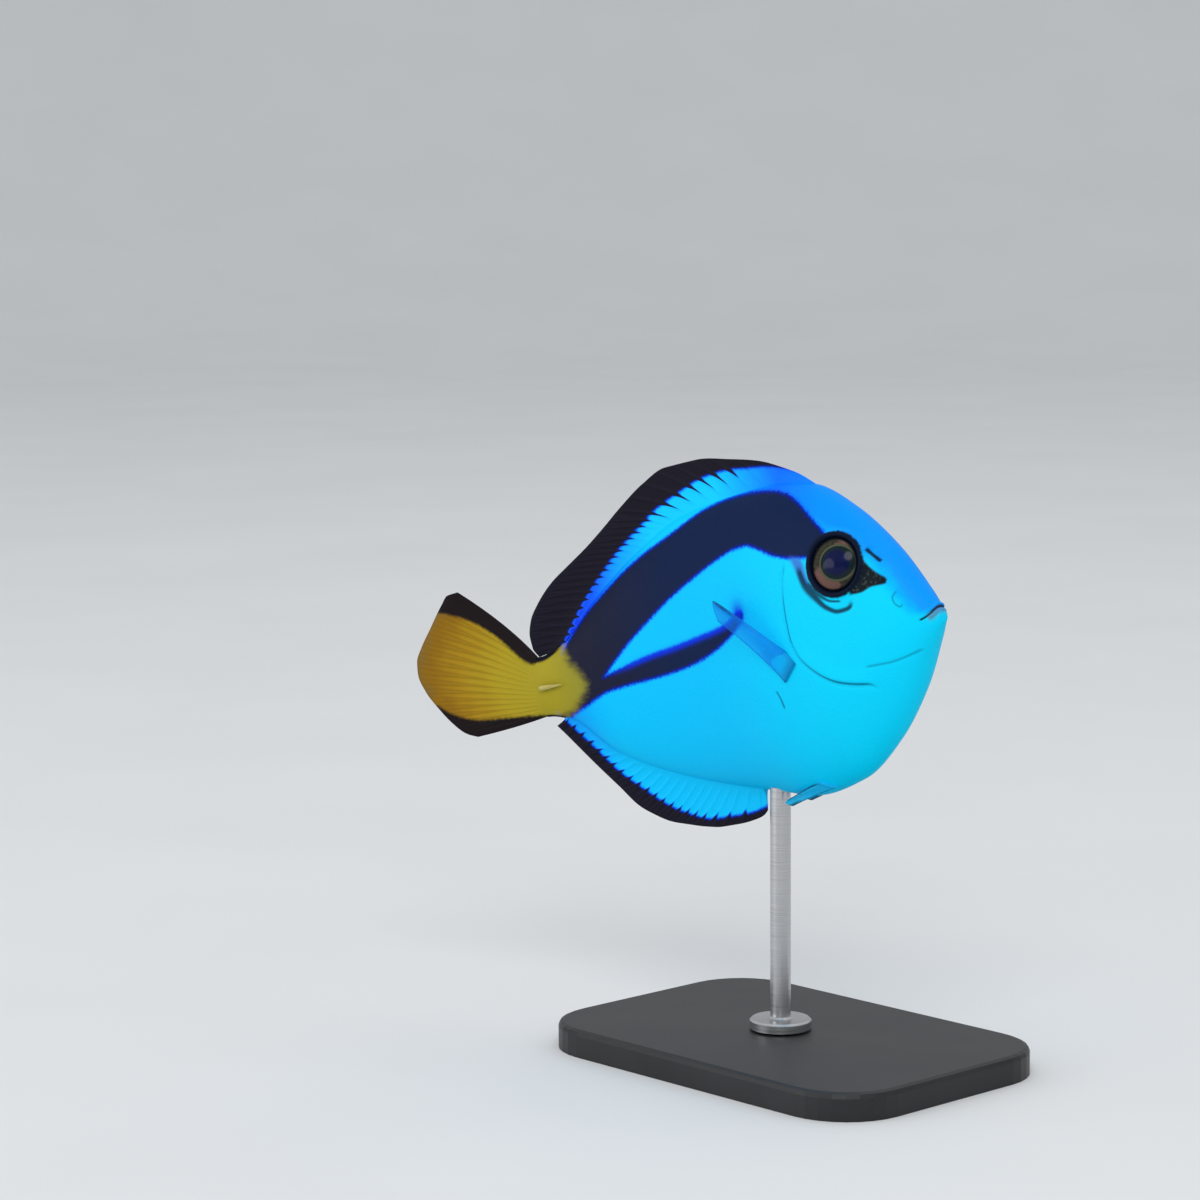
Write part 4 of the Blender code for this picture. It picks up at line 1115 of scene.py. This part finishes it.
def steelFinish():
    material, tree, shader = newFinish("brushed_steel", 0.30, 0.5)
    shader.inputs["Metallic"].default_value = 1.0
    place = tree.nodes.new("ShaderNodeTexCoord").outputs["Object"]
    turned = noise(tree, stretch(tree, place, (80, 80, 9000)), 1.0, 3.0)
    colour = colourRamp(tree, turned, [(0.3, (0.42, 0.42, 0.43)), (0.7, (0.62, 0.62, 0.63))])
    joinTo(tree, shader.inputs["Base Color"], colour)
    tree.links.new(calc(tree, "MULTIPLY_ADD", turned, 0.22, 0.20), shader.inputs["Roughness"])
    raiseSurface(tree, shader, turned, 0.08, 0.00003)
    return material


def makeRod():
    x, y, top = placeFish([(fish["rodS"], 0, float(bellyHeight(fish["rodS"])))])[0]
    floorZ = stand["baseHeight"] + stand["gap"]
    footTop = floorZ + stand["footHeight"]
    edge = stand["footEdge"]
    outer, thin = stand["footRadius"], stand["rodRadius"]
    profile = [(0, floorZ), (outer, floorZ), (outer, footTop - edge), (outer - edge, footTop),
               (thin + edge, footTop), (thin, footTop + edge), (thin, top + stand["rodDepth"]),
               (0, top + stand["rodDepth"])]
    rod = turnedPiece("stand_rod_turned", profile, stand["segments"], 0.00001, (x, y, 0))
    dress(rod, steelFinish(), "stand_steel", "stand_rod")
    rod.data.set_sharp_from_angle(angle=math.radians(35))


makeRod()
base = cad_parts["stand_base"]
base.data.materials.clear()
base.data.materials.append(paintFinish())
print("stand made")


# Stage, lights and camera

studio = {
    "floorRadius": 1.6,
    "wallRadius": 2.4,
    "wallHeight": 0.9,
    "floorSteps": 96,
    "floorColour": (0.74, 0.75, 0.76),
    "worldStrength": 0.70,
    "lights": [("key", (0.55, -0.60, 0.75), 0.55, 3.6), ("fill", (-0.45, -0.85, 0.12), 0.7, 2.7),
               ("top", (-0.10, 0.25, 1.05), 0.9, 2.0)],
    "viewAzimuth": 44.72,
    "viewHeight": 8.05,
    "viewDistance": 637.7,       # in the fish's units
    "focal": 3546.0,             # in pixels of a frame 1200 wide
    "frameSide": 1200.0,
    "pivotPixel": (759.2, 646.8),
}


def makeStage():
    flat, wall = studio["floorRadius"], studio["wallRadius"]
    bend = wall - flat
    corner = [(flat + bend * math.sin(a), bend * (1 - math.cos(a))) for a in np.linspace(0, math.pi / 2, 16)]
    profile = [(0, 0), *corner, (wall, studio["wallHeight"])]
    floor = turnedPiece("studio_floor", profile, studio["floorSteps"], 0.0001)
    floor.data.shade_smooth()
    material, tree, shader = newFinish("studio_finish", 0.9, 0.1)
    place = tree.nodes.new("ShaderNodeTexCoord").outputs["Object"]
    light = studio["floorColour"]
    dim = tuple(0.97 * part for part in light)
    tree.links.new(colourRamp(tree, noise(tree, place, 14.0), [(0.3, dim), (0.7, light)]),
                   shader.inputs["Base Color"])
    floor.data.materials.append(material)


def makeLights():
    aim = Vector((0, 0, fish["pivotHeight"]))
    for name, place, size, power in studio["lights"]:
        data = bpy.data.lights.new(name, "AREA")
        data.shape = "DISK"
        data.size = size
        data.energy = power
        lamp = bpy.data.objects.new(name, data)
        lamp.location = place
        lamp.rotation_euler = (aim - lamp.location).to_track_quat("-Z", "Y").to_euler()
        bpy.context.scene.collection.objects.link(lamp)
    world = bpy.data.worlds.new("studio_air")
    world.use_nodes = True
    sky = world.node_tree.nodes["Background"]
    sky.inputs["Color"].default_value = (0.95, 0.975, 1.0, 1)
    sky.inputs["Strength"].default_value = studio["worldStrength"]
    bpy.context.scene.world = world
    bpy.context.scene.view_settings.view_transform = "Standard"


def makeCamera():
    a, e = math.radians(studio["viewAzimuth"]), math.radians(studio["viewHeight"])
    back = Vector((math.sin(a) * math.cos(e), -math.cos(a) * math.cos(e), math.sin(e)))
    pivot = Vector(-standOffset * fish["unit"])
    data = bpy.data.cameras.new("camera")
    data.sensor_width = 36.0
    data.lens = studio["focal"] / studio["frameSide"] * data.sensor_width
    data.clip_start, data.clip_end = 0.01, 20.0
    camera = bpy.data.objects.new("camera", data)
    camera.location = pivot + back * studio["viewDistance"] * fish["unit"]
    half = studio["frameSide"] / 2
    px, py = studio["pivotPixel"]
    # turn the camera until the pivot stands at its own pixel
    below = math.atan((py - half) / studio["focal"])
    aside = math.atan((px - half) * math.cos(below) / studio["focal"])
    facing = (-back).to_track_quat("-Z", "Y").to_matrix()
    turned = facing @ Matrix.Rotation(aside, 3, "Y") @ Matrix.Rotation(below, 3, "X")
    camera.rotation_euler = turned.to_euler()
    bpy.context.scene.collection.objects.link(camera)
    bpy.context.scene.camera = camera


makeStage()
makeLights()
makeCamera()
print("stage, lights and camera made")
